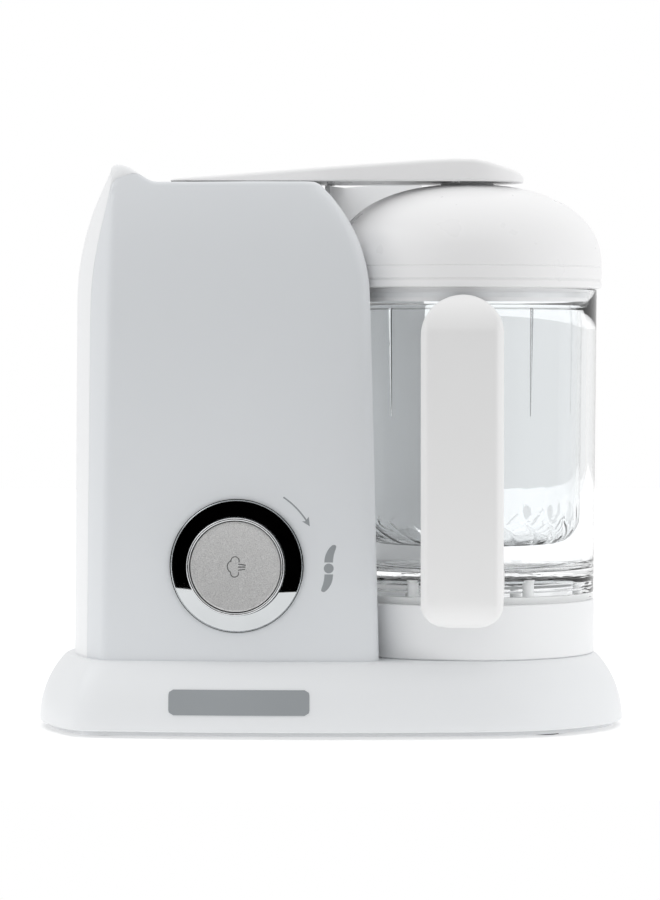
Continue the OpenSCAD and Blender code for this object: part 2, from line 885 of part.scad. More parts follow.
module handle_screws() {
    color("silver") at_bowl() rotate(-handle_turn) for (z = [96, 166])
        translate([0, -handle_reach + 22, z]) rotate([90, 0, 0]) difference() {
            union() {
                cylinder(r = 2, h = 1);
                cylinder(r = 1, h = 14);
            }
            for (a = [0, 90]) rotate(a) translate([-1.2, -0.2, -1]) cube([2.4, 0.4, 1.5]);
        }
}

module basket() {
    low = 88;
    round_r = 13;
    corner_r = basket_r - 1.2 - round_r;
    color("lightcyan", 0.4) at_bowl() difference() {
        union() {
            upright(0, 0, 128) difference() {
                union() {
                    polygon([[0, low], [corner_r, low], [corner_r, low + round_r],
                        [basket_r - 1.2, low + round_r], [basket_r, 201], [basket_r, 202.6], [0, 202.6]]);
                    translate([corner_r, low + round_r]) circle(r = round_r);
                    translate([0, 200.9]) square([bowl_r - 3.2, 1.7]);
                }
                polygon([[0, low + 2], [corner_r, low + 2],
                    [corner_r, low + round_r], [basket_r - 3.2, low + round_r],
                    [basket_r - 2, 203], [0, 203]]);
                intersection() {
                    translate([corner_r, low + round_r]) circle(r = round_r - 2);
                    translate([corner_r, 0]) square([50, low + round_r]);
                }
                translate([-100, 0]) square([100, 300]);
            }
            for (a = [0:15:345]) rotate(a) translate([34, -0.7, low + 1]) cube([14, 1.4, 9]);
        }
        for (r = [8, 17, 26], a = [0:360 / (r - 2) * 1.2:350]) rotate(a)
            translate([r, 0, low - 1]) cylinder(r = 1.4, h = 4, $fn = 16);
    }
}

module control_board() {
    color("seagreen") placed() translate([-98, -22, 60]) {
        cube([1.6, 50, 80]);
        translate([1.6, 6, 8]) cube([9, 16, 19]);
        translate([1.6, 30, 10]) cube([7, 12, 15]);
        translate([1.6, 14, 56]) rotate([0, 90, 0]) cylinder(r = 6, h = 9);
        translate([1.6, 34, 50]) cube([6, 8, 22]);
    }
}

module rotary_switch() {
    color("dimgray") placed() on_front(knob_x, knob_z) {
        ring(13, 8, -27, -14);
        for (a = [60:60:300]) rotate(a) translate([10, -1.5, -31]) cube([0.8, 3, 4]);
    }
}

module steam_switch() {
    color("dimgray") placed() on_front(knob_x, knob_z) {
        translate([-7, -4, -40]) cube([14, 8, 40 - button_low - button_travel - 0.8]);
        for (x = [-5, 0, 5]) translate([x - 0.4, -1.5, -43]) cube([0.8, 3, 3.1]);
    }
}

module lid_switch() {
    color("dimgray") placed() translate([-10.6, -6, 225]) {
        cube([6, 12, 14]);
        for (z = [3, 10]) translate([-2, 5, z]) cube([2.1, 2, 0.8]);
    }
}

module dial_bezel() {
    color("gray") placed() on_front(knob_x, knob_z) upright(0, 0, 128)
        polygon([[dish_r, 0.02], [dish_r, 1], [dish_r - 0.6, 1.5], [dish_r - 1.2, 1.3],
            [dish_r - 2.4, 0], [27.2, -2.2], [25.2, -3.8], [23.6, -4.8], [22, -5.2], [8, -5.2],
            [8, -6.6], [24.5, -6.6], [29.3, -2], [29.3, 0.02]]);
}

module dial_knob() {
    color("silver") placed() on_front(knob_x, knob_z) upright(0, 0, 128)
        polygon([[5, -20], [7.6, -20], [7.6, -4.7], [knob_r - 0.6, -4.7], [knob_r, -4], [knob_r, 7.6],
            [knob_r - 0.4, 8.6], [knob_r - 1, 8.9], [knob_r - 1.4, 8.4], [knob_r - 1.4, -2.6], [5, -2.6]]);
}

module steam_button() {
    color("lightgray") placed() on_front(knob_x, knob_z) upright(0, 0, 128)
        polygon([[0, -button_low], [2.4, -button_low], [2.4, 5.6], [knob_r - 1.8, 5.6], [knob_r - 1.8, 7.4],
            [knob_r - 2.2, 7.8], [knob_r - 2.8, 8], [0, 8]]);
}

// Thin skin standing a little proud of the casing's front
module print_skin(proud) {
    difference() {
        translate([front_cx, far_y, 0]) cylinder(r = casing_front_r + proud, h = 150, $fn = 720);
        translate([front_cx, far_y, -1]) cylinder(r = casing_front_r, h = 152, $fn = 720);
    }
}

// Curved arrow that shows which way the knob turns
module turn_arrow() {
    r = 39;
    difference() {
        circle(r = r + 0.5, $fn = 128);
        circle(r = r - 0.5, $fn = 128);
        polygon([[0, 0], [60, 60 * tan(31)], [60, -60], [-60, -60], [-60, 60], [60 / tan(55), 60]]);
    }
    rotate(29) translate([r, 0]) polygon([[0, 0], [-2.6, 4.2], [2.6, 4.2]]);
}

// Two curved blades around a middle dot
module blade_mark() {
    circle(r = 2.3);
    for (a = [0, 180]) rotate(a) intersection() {
        translate([-6.5, 7]) circle(r = 8.8);
        difference() {
            translate([-1.5, 2.8]) square([6, 8]);
            translate([-9.5, 7]) circle(r = 8.6);
        }
    }
}

module front_markings() {
    color("gray") placed() intersection() {
        print_skin(0.25);
        on_front(knob_x, knob_z) translate([0, 0, -5]) linear_extrude(height = 10) {
            turn_arrow();
            translate([mark_x - knob_x, 0]) blade_mark();
        }
    }
}

module badge_plate() {
    color("gray") placed() intersection() {
        difference() {
            upright(front_cx, far_y, big_fn) base_section(front_r + 0.5, 0, shell_low);
            upright(front_cx, far_y, big_fn) base_section(front_r, 0, shell_low);
        }
        translate([badge_x - 33, -base_depth, 11]) cube([66, base_depth, 12]);
    }
}

base_shell();
bottom_plate();
feet();
base_screws();
cord_gland();
front_shell();
main_shell();
shell_screws();
top_deck();
hinge_pin();
drive_housing();
water_tank();
tank_heater();
thermostat();
motor_stator();
motor_windings();
motor_lower_bracket();
motor_upper_bracket();
motor_bearings();
brush_holders();
motor_mounts();
drive_belt();
drive_bushes();
control_board();
rotary_switch();
steam_switch();
lid_switch();
dial_bezel();
badge_plate();
front_markings();
arm_cover();
arm_liner();
tank_seal();
outlet_seal();
arm_screws();
rotor_core();
motor_shaft();
commutator();
cooling_fan();
motor_pulley();
drive_shaft();
drive_pulley();
drive_coupling();
shaft_clip();
bowl();
bowl_handle();
handle_insert();
bowl_base_ring();
handle_screws();
basket();
blade_bush();
lid_dome();
lid_inner();
lid_seal();
blade();
blade_hub();
blade_shaft();
dial_knob();
steam_button();
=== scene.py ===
import json
import math

import bmesh
import bpy
from mathutils import Matrix, Vector


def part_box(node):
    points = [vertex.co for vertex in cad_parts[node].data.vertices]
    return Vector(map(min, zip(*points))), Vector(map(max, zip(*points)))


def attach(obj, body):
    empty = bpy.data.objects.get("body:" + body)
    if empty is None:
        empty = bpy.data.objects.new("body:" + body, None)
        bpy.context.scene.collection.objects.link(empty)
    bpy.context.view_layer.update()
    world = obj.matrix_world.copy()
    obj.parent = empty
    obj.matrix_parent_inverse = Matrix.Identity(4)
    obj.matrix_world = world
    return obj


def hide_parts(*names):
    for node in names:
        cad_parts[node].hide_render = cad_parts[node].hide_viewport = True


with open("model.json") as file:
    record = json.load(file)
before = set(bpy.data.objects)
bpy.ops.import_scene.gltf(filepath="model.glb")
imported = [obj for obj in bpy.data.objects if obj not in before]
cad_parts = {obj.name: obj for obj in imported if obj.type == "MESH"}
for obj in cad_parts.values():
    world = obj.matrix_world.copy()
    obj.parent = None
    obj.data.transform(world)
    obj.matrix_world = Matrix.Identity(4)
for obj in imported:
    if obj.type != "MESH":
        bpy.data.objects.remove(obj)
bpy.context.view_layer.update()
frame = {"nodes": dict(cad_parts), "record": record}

nodes = frame["nodes"]


def middle(node):
    """Middle of a CAD node's box."""
    low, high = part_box(node)
    return (low + high) / 2


# Driving places, from the frame
BASE_LOW, BASE_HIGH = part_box("base_shell")
BOWL_LOW, BOWL_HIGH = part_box("bowl")
HOUSING_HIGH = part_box("drive_housing")[1]
BASKET_LOW, BASKET_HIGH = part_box("basket")
DOME_LOW, DOME_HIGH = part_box("lid_dome")
ARM_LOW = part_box("arm_cover")[0]
CASING_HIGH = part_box("main_shell")[1]
AXIS = Vector((middle("drive_housing").x, middle("drive_housing").y, 0))
MID_Y = AXIS.y
BASE_TOP = BASE_HIGH.z
DECK_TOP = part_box("top_deck")[1].z
DEPTH = BASE_HIGH.y - BASE_LOW.y
WALL = 0.0025
ORIGIN = Vector((0, 0, 0))
UPRIGHT = Matrix.Rotation(math.radians(90), 4, "X")
MM = 0.001

# Plan of the plinth: long curves tangent to the round right end
FRONT_R = 0.672
END_R = BASE_HIGH.x - AXIS.x
LEFT_R = 0.118
FAR = FRONT_R - DEPTH / 2
FRONT_X = AXIS.x - math.sqrt((FRONT_R - END_R) ** 2 - FAR ** 2)
WIDEST_Z = 0.0036
BULGE_R = 0.045

# Casing
CASING_R = FRONT_R - 0.015
LEFT_REACH = 0.124
FLANK_Z = 0.204
FLANK_R = 0.1254
ROLL_Z = 0.190
ROLL_R = 0.170
SHOULDER_Z = 0.205
SHOULDER_R = 0.075
PANEL_RIGHT = 0.0225
PANEL_DRAFT = 0.0042
RIDGE = CASING_HIGH.z - DECK_TOP
RIDGE_X = -0.101
RIDGE_FOOT = -0.083
SPLIT_Y = MID_Y - 0.040
RECESS_R = 0.0665
CASING_MIDDLE = (-0.050, 0.0)

# Controls, from the chrome dish
DISH_LOW, DISH_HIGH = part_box("dial_bezel")
DISH_R = (DISH_HIGH.z - DISH_LOW.z) / 2
KNOB = Vector((-0.0442, 0, middle("dial_bezel").z))
COLLAR_R = 0.122
BUTTON_DIP = 0.0010
KNOB_R = (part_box("dial_knob")[1].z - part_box("dial_knob")[0].z) / 2
BUTTON_FACE_R = KNOB_R - 0.0026
BUTTON_FACE = 0.0080
BADGE_X = middle("badge_plate").x

# Arm, bowl, basket and handle
ARM_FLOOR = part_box("arm_liner")[0].z
PIN = middle("hinge_pin")
SHOULDER = DOME_LOW.z + 0.0102
BOWL_R = BOWL_HIGH.x - AXIS.x
BASKET_R = 0.0556
BASKET_FLANGE = 0.0017
HANDLE_TURN = math.radians(-3.4)
HANDLE_FRAME = Matrix.Translation(AXIS) @ Matrix.Rotation(HANDLE_TURN, 4, "Z")
HANDLE_FACE = 0.105
HANDLE_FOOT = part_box("bowl_handle")[0].z + 0.001
HANDLE_HALF = 0.019
HANDLE_BOLTS = (0.096, 0.166)

# Light round the object
DARK_FRONT = 0.28
DARK_BACK = 0.25
DARK_FACE = (-0.80, -0.62)
SIDE_LIGHT = 0.86
TOP_LIGHT = 1.19
LEAN = (0.96, 0.15)
FLOOR_FRONT = 0.235

# Camera
LENS = 154.0
CAMERA_AT = (-0.0005, MID_Y - 1.865, 0.1845)
CAMERA_TILT = 1.59


# ---------------------------------------------------------------- mesh tools

def clamp(x, low=0.0, high=1.0):
    return max(low, min(high, x))


def smooth_step(x):
    x = clamp(x)
    return x * x * (3 - 2 * x)


def soft_min(a, b, k):
    """The smaller of two, rounded where they cross."""
    if a > 1e6 or b > 1e6:
        return min(a, b)
    h = clamp(0.5 + 0.5 * (b - a) / k)
    return b + (a - b) * h - k * h * (1 - h)


def round_in(depth, radius):
    """How far a rounded edge has moved in, at a depth below its top."""
    if depth >= radius:
        return 0.0
    side = radius - max(depth, 0.0)
    return radius - math.sqrt(max(radius * radius - side * side, 0.0))


def new_object(name, bm, smooth=35):
    """Object from a bmesh, smooth but for its edges."""
    bmesh.ops.recalc_face_normals(bm, faces=bm.faces)
    mesh = bpy.data.meshes.new(name)
    bm.to_mesh(mesh)
    bm.free()
    obj = bpy.data.objects.new(name, mesh)
    bpy.context.scene.collection.objects.link(obj)
    soften(obj, smooth)
    return obj


def soften(obj, angle=35):
    """Smooth shading, with edges sharper than the angle kept."""
    obj.data.shade_smooth()
    obj.data.set_sharp_from_angle(angle=math.radians(angle))


def skin_rings(bm, rings, closed=True):
    """Quads between rings of points; a ring of one point is a pole."""
    made = [[bm.verts.new(p) for p in ring] for ring in rings]
    for low, high in zip(made, made[1:]):
        count = max(len(low), len(high))
        for i in range(count if closed else count - 1):
            j = (i + 1) % count
            if len(low) == 1:
                bm.faces.new((low[0], high[j], high[i]))
            elif len(high) == 1:
                bm.faces.new((low[i], low[j], high[0]))
            else:
                bm.faces.new((low[i], low[j], high[j], high[i]))
    return made


def cap_ends(bm, made):
    """Closes both ends of a skin."""
    bm.faces.new(reversed(made[0]))
    bm.faces.new(made[-1])


def lathe(name, outline, at, turns=192, smooth=35, shape=None):
    """Closed solid of revolution from (radius, height) points round an upright axis.
    shape(angle, radius, height) may change each point's radius and height."""
    bm = bmesh.new()
    verts = []
    for i in range(turns):
        a = 2 * math.pi * i / turns
        column = [shape(a, r, z) if shape else (r, z) for r, z in outline]
        verts.append([bm.verts.new((at.x + r * math.cos(a), at.y + r * math.sin(a), at.z + z))
                      for r, z in column])
    count = len(outline)
    for i in range(turns):
        j = (i + 1) % turns
        for k in range(count):
            m = (k + 1) % count
            if outline[k][0] or outline[m][0]:
                bm.faces.new((verts[i][k], verts[j][k], verts[j][m], verts[i][m]))
    bmesh.ops.remove_doubles(bm, verts=bm.verts, dist=1e-7)
    return new_object(name, bm, smooth)


def arc(cx, cz, r, start, end, steps=8):
    """Points of an arc in a section, angles in degrees."""
    return [(cx + r * math.cos(math.radians(start + (end - start) * i / steps)),
             cz + r * math.sin(math.radians(start + (end - start) * i / steps)))
            for i in range(steps + 1)]


def prism(name, outline, low, high):
    """Upright prism of an outline."""
    bm = bmesh.new()
    cap_ends(bm, skin_rings(bm, [[(x, y, z) for x, y in outline] for z in (low, high)]))
    return new_object(name, bm)


def circle_points(x, y, r, n=96):
    return [(x + r * math.cos(2 * math.pi * i / n), y + r * math.sin(2 * math.pi * i / n))
            for i in range(n)]


def cut(obj, tool, operation="DIFFERENCE"):
    """Applies a boolean and removes its tool."""
    mod = obj.modifiers.new("cut", "BOOLEAN")
    mod.operation = operation
    mod.solver = "EXACT"
    mod.object = tool
    apply_modifiers(obj)
    bpy.data.objects.remove(tool)
    return obj


def apply_modifiers(obj):
    """Bakes an object's modifiers into its mesh."""
    graph = bpy.context.evaluated_depsgraph_get()
    mesh = bpy.data.meshes.new_from_object(obj.evaluated_get(graph))
    obj.modifiers.clear()
    obj.data = mesh
    return obj


def join(name, parts):
    """One object from several, its meshes added together."""
    bm = bmesh.new()
    for part in parts:
        part.data.transform(part.matrix_world)
        bm.from_mesh(part.data)
        bpy.data.objects.remove(part)
    return new_object(name, bm)


def place(obj, body, slot, material, *replaced):
    """Rides a piece on its body, with its material; the slot is not used."""
    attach(obj, body)
    obj.data.materials.clear()
    obj.data.materials.append(material)
    if replaced:
        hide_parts(*replaced)
    return obj


# ------------------------------------------------------------ plan outlines

def ray_out(o, d, cx, cy, r):
    """Distance along a ray from inside a circle to its edge."""
    x, y = o[0] - cx, o[1] - cy
    b = x * d[0] + y * d[1]
    return -b + math.sqrt(max(b * b - x * x - y * y + r * r, 0.0))


def ray_in(o, d, cx, cy, r):
    """Distance along a ray from outside a circle to it, or a huge number."""
    x, y = o[0] - cx, o[1] - cy
    b = x * d[0] + y * d[1]
    c = b * b - x * x - y * y + r * r
    return -b - math.sqrt(c) if c > 0 and b < 0 else 1e9


def plinth_reach(a, inset):
    """Distance from the middle to the plinth's edge at an angle."""
    d = (math.cos(a), math.sin(a))
    o = (0.0, 0.0)
    far = FAR if d[1] < 0 else -FAR
    long_side = ray_out(o, d, FRONT_X, far, FRONT_R - inset)
    tangent = FRONT_X + (FRONT_R - inset) * (AXIS.x - FRONT_X) / (FRONT_R - END_R)
    if long_side * d[0] > tangent:
        return ray_out(o, d, AXIS.x, 0, END_R - inset)
    if d[0] > -0.2:
        return long_side
    left = ray_out(o, d, BASE_LOW.x + LEFT_R, 0, LEFT_R - inset)
    return soft_min(long_side, left, 0.007)


def bulge(z):
    """How far the plinth's side has moved in at a height."""
    return BULGE_R - math.sqrt(BULGE_R ** 2 - max(z - WIDEST_Z, 0) ** 2)


def plinth_ring(inset, z, steps=360):
    angles = [2 * math.pi * i / steps for i in range(steps)]
    reach = [plinth_reach(a, inset) for a in angles]
    return [(r * math.cos(a), MID_Y + r * math.sin(a), z) for a, r in zip(angles, reach)]


def build_plinth():
    """Plinth shell with a rounded top edge, open underneath."""
    edge = 0.0016
    low = BASE_LOW.z
    outer = [(0.0012, low), (0.0004, low + 0.00015), (0.0, low + 0.0006)]
    heights = [WIDEST_Z + (BASE_TOP - edge - WIDEST_Z) * i / 18 for i in range(19)]
    heights += [BASE_TOP - edge * (1 - math.sin(math.radians(15 * i))) for i in range(1, 7)]
    for z in heights:
        outer.append((bulge(z) + round_in(BASE_TOP - z, edge), z))
    inner_top = BASE_TOP - WALL
    inner = [(bulge(inner_top * t + low * (1 - t)) + WALL, inner_top * t + low * (1 - t))
             for t in (1, 0.8, 0.6, 0.4, 0.2, 0.0)]
    bm = bmesh.new()
    rings = [[(0, MID_Y, inner_top)]]
    rings += [plinth_ring(i, z) for i, z in inner]
    rings += [plinth_ring(i, z) for i, z in outer]
    last = outer[-1][0]
    rings += [plinth_ring(last + 0.004, BASE_TOP), [(0, MID_Y, BASE_TOP)]]
    skin_rings(bm, rings)
    plinth = new_object("plinth", bm)
    hole = prism("hole", circle_points(AXIS.x, MID_Y, 0.050), 0.020, 0.060)
    return cut(plinth, hole)


def left_reach(z):
    """How far left of the middle the casing's side reaches at a height."""
    if z <= FLANK_Z:
        return LEFT_REACH - 0.0014 * clamp((z - BASE_TOP) / (FLANK_Z - BASE_TOP))
    rise = min(z - FLANK_Z, FLANK_R * 0.9)
    return LEFT_REACH - 0.0014 - (FLANK_R - math.sqrt(FLANK_R ** 2 - rise ** 2))


def roll(z):
    """How far the casing's front has rolled back at a height."""
    rise = max(z - ROLL_Z, 0.0)
    return ROLL_R - math.sqrt(ROLL_R ** 2 - rise ** 2)


def panel_edge(z):
    """Where the front panel's right edge is at a height."""
    top = PANEL_RIGHT - PANEL_DRAFT
    if z <= SHOULDER_Z:
        return top + PANEL_DRAFT * clamp((SHOULDER_Z - z) / (SHOULDER_Z - BASE_TOP))
    rise = min(z - SHOULDER_Z, SHOULDER_R * 0.98)
    return top - SHOULDER_R + math.sqrt(SHOULDER_R ** 2 - rise ** 2)


def top_height(x):
    """Height of the casing's top: a flat deck and a ridge along the left edge."""
    return DECK_TOP + RIDGE * smooth_step((RIDGE_FOOT - x) / (RIDGE_FOOT - RIDGE_X)) ** 0.85


def casing_reach(a, z, inset):
    """Distance from the casing's middle to its skin at an angle and a height."""
    o = CASING_MIDDLE
    d = (math.cos(a), math.sin(a))
    far = FAR if d[1] < 0 else -FAR
    front = ray_out(o, d, FRONT_X, far, CASING_R - roll(z) - inset)
    if d[0] < 0:
        corner_x = 0.1077 - 0.0036 * clamp((z - BASE_TOP) / 0.228)
        corner_y = 0.0556 - roll(z)
        sag = max(left_reach(z) - corner_x, 0.0012)
        r = (corner_y ** 2 + sag ** 2) / (2 * sag)
        side = ray_out(o, d, r - left_reach(z), 0, r - inset)
        return soft_min(front, side, 0.0022)
    flank = (panel_edge(z) - inset - o[0]) / d[0] if d[0] > 1e-6 else 1e9
    out = soft_min(front, flank, 0.009)
    return soft_min(out, ray_in(o, d, AXIS.x, 0, RECESS_R + inset), 0.0025)


def casing_angles():
    """Angles round the casing, closer together at its corners."""
    corners = [math.degrees(math.atan2(s * y, x - CASING_MIDDLE[0]))
               for x, y in ((-0.1075, 0.0556), (0.0225, 0.0635), (0.0225, 0.0503)) for s in (-1, 1)]
    spots = set(range(0, 360, 2))
    for c in corners:
        spots |= {round((c + 0.25 * i) % 360, 2) for i in range(-16, 17)}
    return [math.radians(s) for s in sorted(spots)]


def casing_ring(angles, inset, share, drop):
    """Ring of the casing's skin at a share of its height, its top lowered by a drop."""
    ring = []
    for a in angles:
        z = BASE_TOP + share * (DECK_TOP - drop - BASE_TOP)
        for _ in range(4):
            r = casing_reach(a, z, inset)
            x = CASING_MIDDLE[0] + r * math.cos(a)
            z = BASE_TOP + share * (top_height(x) - drop - BASE_TOP)
        ring.append((x, MID_Y + r * math.sin(a), z))
    return ring


def casing_cap(ring, drop, share):
    """Ring of the casing's top, moved in from its rim to a share of its size."""
    out = []
    for x, y, _ in ring:
        x = CASING_MIDDLE[0] + (x - CASING_MIDDLE[0]) * share
        y = MID_Y + (y - MID_Y) * share
        out.append((x, y, top_height(x) - drop))
    return out


def casing_rings(inset, edge):
    """Rings of the casing from its foot to the middle of its top, moved in by an inset."""
    angles = casing_angles()
    shares = [0.62 * i / 6 for i in range(7)] + [0.62 + 0.36 * i / 30 for i in range(1, 31)] + [1.0]
    rings = [casing_ring(angles, inset, s, inset + edge) for s in shares]
    for i in range(1, 7):
        t = math.radians(15 * i)
        rings.append(casing_ring(angles, inset + edge * (1 - math.cos(t)), 1.0,
                                 inset + edge * (1 - math.sin(t))))
    rim = rings[-1]
    rings += [casing_cap(rim, inset, s) for s in [0.985] + [0.96 - 0.04 * i for i in range(24)]]
    return rings + [[(CASING_MIDDLE[0], MID_Y, top_height(CASING_MIDDLE[0]) - inset)]]


# ------------------------------------------------------------ housing pieces

def front_frame(x, z):
    """Frame on the casing's front: local Z outward and local Y up."""
    lean = math.asin((x - FRONT_X) / CASING_R)
    return (Matrix.Translation((FRONT_X, MID_Y + FAR, z)) @ Matrix.Rotation(lean, 4, "Z")
            @ Matrix.Translation((0, -CASING_R, 0)) @ UPRIGHT)


def moved(obj, matrix):
    """The same object, its mesh moved."""
    obj.data.transform(matrix)
    return obj


def slab(name, x0, x1, y0, y1, z0, z1):
    """Block used to cut or to join."""
    return prism(name, [(x0, y0), (x1, y0), (x1, y1), (x0, y1)], z0, z1)


def deck_outline():
    """Outline of the casing's top opening, which stops at a ring round the dome."""
    high_x, half, ring_r = RIDGE_FOOT + 0.071, 0.034, RECESS_R + 0.005
    ys = [half * (1 - i / 12) for i in range(25)]
    right = [(min(high_x, AXIS.x - math.sqrt(ring_r ** 2 - y * y)), MID_Y + y) for y in ys]
    return [(RIDGE_FOOT, MID_Y + half)] + right + [(RIDGE_FOOT, MID_Y - half)]


def build_collar():
    """Wall that carries the bowl's hollow on round the back of the dome, its top rising to the rear."""
    rise_y, turn, spread, slope = MID_Y + 0.032, 144, 36, 6
    collar = sector("collar", RECESS_R + WALL - 0.0001, RECESS_R + 0.00005, BASE_TOP, 0.268, turn, spread)
    cut(collar, slab("level", -0.05, 0.12, -0.05, rise_y + 0.0001, DECK_TOP, 0.30))
    wedge = slab("wedge", -0.05, 0.12, 0, 0.08, 0, 0.03)
    at = Matrix.Translation((0, rise_y, DECK_TOP)) @ Matrix.Rotation(math.radians(slope), 4, "X")
    cut(collar, moved(wedge, at))
    return bevel(collar, 0.0007)


def build_casing():
    """Front and rear shells: one hollow skin with its openings, split across the front."""
    bm = bmesh.new()
    skin_rings(bm, casing_rings(WALL, 0.001)[::-1] + casing_rings(0.0, 0.002))
    shell = new_object("casing_front", bm)
    cut(shell, prism("deck_hole", deck_outline(), 0.230, 0.290))
    dish = prism("dish_hole", circle_points(0, 0, DISH_R - 0.0022), -0.012, 0.012)
    cut(shell, moved(dish, front_frame(KNOB.x, KNOB.z)))
    for i in range(7):
        x = -0.090 + 0.009 * i
        cut(shell, slab("vent", x, x + 0.0035, MID_Y + 0.050, MID_Y + 0.080, 0.052, 0.078))
    rear = bpy.data.objects.new("casing_rear", shell.data.copy())
    bpy.context.scene.collection.objects.link(rear)
    seam = 0.00012
    cut(shell, slab("behind", -0.2, 0.2, SPLIT_Y - seam, 0.3, -0.1, 0.4))
    cut(rear, slab("before", -0.2, 0.2, -0.3, SPLIT_Y + seam, -0.1, 0.4))
    cut(rear, build_collar(), "UNION")
    soften(shell, 30)
    soften(rear, 30)
    return shell, rear


def arm_top(x):
    """Height of the arm's top along its length: a long rise, then a short fall."""
    points = ((ARM_LOW.x, ARM_FLOOR + 0.0011), (0.009, 0.2695), (0.045, 0.2720), (0.058, 0.2726),
              (0.068, 0.2725), (0.075, 0.2713), (0.082, 0.2694), (0.0885, 0.2675), (0.093, 0.2660))
    for (x0, z0), (x1, z1) in zip(points, points[1:]):
        if x <= x1:
            return z0 + (z1 - z0) * clamp((x - x0) / (x1 - x0))
    return points[-1][1]


def arm_reach(a, inset, back):
    """Distance from the middle to the arm's edge at an angle; the arm ends a way back."""
    end_r, wide = 0.027, 0.0305
    o, d = (0.0, 0.0), (math.cos(a), abs(math.sin(a)))
    slope = (wide - end_r) / (AXIS.x - ARM_LOW.x - 0.005)
    line = (end_r + slope * AXIS.x - inset) / max(d[1] + slope * d[0], 1e-9)
    if d[0] > 0:
        return ray_out(o, d, AXIS.x, 0, end_r - inset) if line * d[0] > AXIS.x else line
    end = back / max(-d[0], 1e-9)
    corner = (0.0737 - 1.1 * inset) / (0.69 * -d[0] + 0.72 * d[1])
    return soft_min(soft_min(line, end, 0.003), corner, 0.003)


def arm_rings(inset, edge, back):
    """Rings of the arm from its underside to the middle of its top, moved in by an inset."""
    corner = math.degrees(math.atan2(0.028, ARM_LOW.x))
    spots = set(range(0, 360, 2)) | {0.5 * i % 360 for i in range(-50, 51)}
    spots |= {round((s * corner + 0.5 * i) % 360, 2) for i in range(-14, 15) for s in (-1, 1)}
    angles = [math.radians(s) for s in sorted(spots)]

    def ring(more, down, share=1.0):
        out = []
        for a in angles:
            r = arm_reach(a, inset + more, back - more)
            top = arm_top(r * math.cos(a)) - inset
            z = top - down * min(edge, 0.7 * max(top - ARM_FLOOR, 1e-5))
            out.append((r * math.cos(a), MID_Y + r * math.sin(a), ARM_FLOOR + share * (z - ARM_FLOOR)))
        return out

    rings = [ring(0.0002 if inset else 0.0006, 1, 0), ring(0, 1, 0.12), ring(0, 1)]
    for i in range(1, 7):
        t = math.radians(15 * i)
        rings.append(ring(edge * (1 - math.cos(t)), 1 - math.sin(t)))
    rim = rings[-1]
    for s in [0.97] + [0.94 - 0.04 * i for i in range(23)]:
        rings.append([(x * s, MID_Y + (y - MID_Y) * s, arm_top(x * s) - inset) for x, y, _ in rim])
    return rings + [[(0, MID_Y, arm_top(0) - inset)]]


def hinge_barrel(y):
    """Keyhole-shaped barrel round the hinge pin, under the arm."""
    r, high = 0.0032, ARM_FLOOR + 0.0002 - PIN.z
    outline = [(r, high), (-r, high)] + arc(0, 0, r, 180, 360, 24)
    barrel = prism("barrel", outline, -0.009, 0.009)
    cut(barrel, prism("bore", circle_points(0, 0, 0.00156, 48), -0.02, 0.02))
    return moved(barrel, Matrix.Translation((PIN.x, y, PIN.z)) @ UPRIGHT)


def build_arm():
    """Hollow arm, open underneath, with its two hinge barrels."""
    bm = bmesh.new()
    skin_rings(bm, arm_rings(0.0016, 0.001, 0.050)[::-1] + arm_rings(0.0, 0.0022, -ARM_LOW.x))
    arm = new_object("arm", bm)
    for side in (-1, 1):
        cut(arm, hinge_barrel(MID_Y + 0.016 * side), "UNION")
    soften(arm, 28)
    return arm


def build_drive_housing():
    """Round white seat under the bowl, with a web, a bush tube and four bayonet tabs."""
    r, top = END_R - 0.0136, HOUSING_HIGH.z
    foot, seat = BASE_TOP + 0.00005, 0.050
    outline = [(r - 0.003, foot), (r - 0.0006, foot)] + [(r, foot + 0.0006)]
    outline += arc(r - 0.0009, top - 0.0009, 0.0009, 0, 90) + arc(r - 0.0025, top - 0.0005, 0.0005, 90, 180)
    outline += [(r - 0.003, seat), (0.0065, seat), (0.0065, 0.033), (0.0095, 0.033),
                (0.0095, seat - 0.0045), (0.011, seat - 0.003), (r - 0.0045, seat - 0.003),
                (r - 0.003, seat - 0.0045)]
    housing = lathe("drive_seat", outline, AXIS, 176)
    for i in range(3):
        a = math.radians(30 + 120 * i)
        x, y = AXIS.x + 0.036 * math.cos(a), MID_Y + 0.036 * math.sin(a)
        cut(housing, prism("drain", circle_points(x, y, 0.002, 24), 0.040, 0.060))
    for i in range(4):
        cut(housing, sector("tab", r - 0.0024, 0.0564, 0.0556, 0.0586, 90 * i + 20, 14), "UNION")
    soften(housing, 30)
    return housing


def sector(name, outer, inner, low, high, turn, spread):
    """Part of a ring round the bowl's axis: spread is how far it reaches to either side of turn."""
    steps = max(12, int(1.5 * spread))
    angles = [math.radians(turn + spread * (2 * i / steps - 1)) for i in range(steps + 1)]
    outline = [(AXIS.x + outer * math.cos(a), AXIS.y + outer * math.sin(a)) for a in angles]
    outline += [(AXIS.x + inner * math.cos(a), AXIS.y + inner * math.sin(a)) for a in reversed(angles)]
    return prism(name, outline, low, high)


# ---------------------------------------------------------------- bowl pieces

def dome_height(r, reach, top):
    return SHOULDER + (top - SHOULDER) * (1 - (r / reach) ** 2.3) ** (1 / 2.3)


def dome_curve(reach, top, stop, steps=40):
    """Dome section from its shoulder up to a radius."""
    end = math.degrees(math.acos(stop / reach))
    radii = [reach * math.cos(math.radians(end * i / steps)) for i in range(steps + 1)]
    return [(r, dome_height(r, reach, top)) for r in radii]


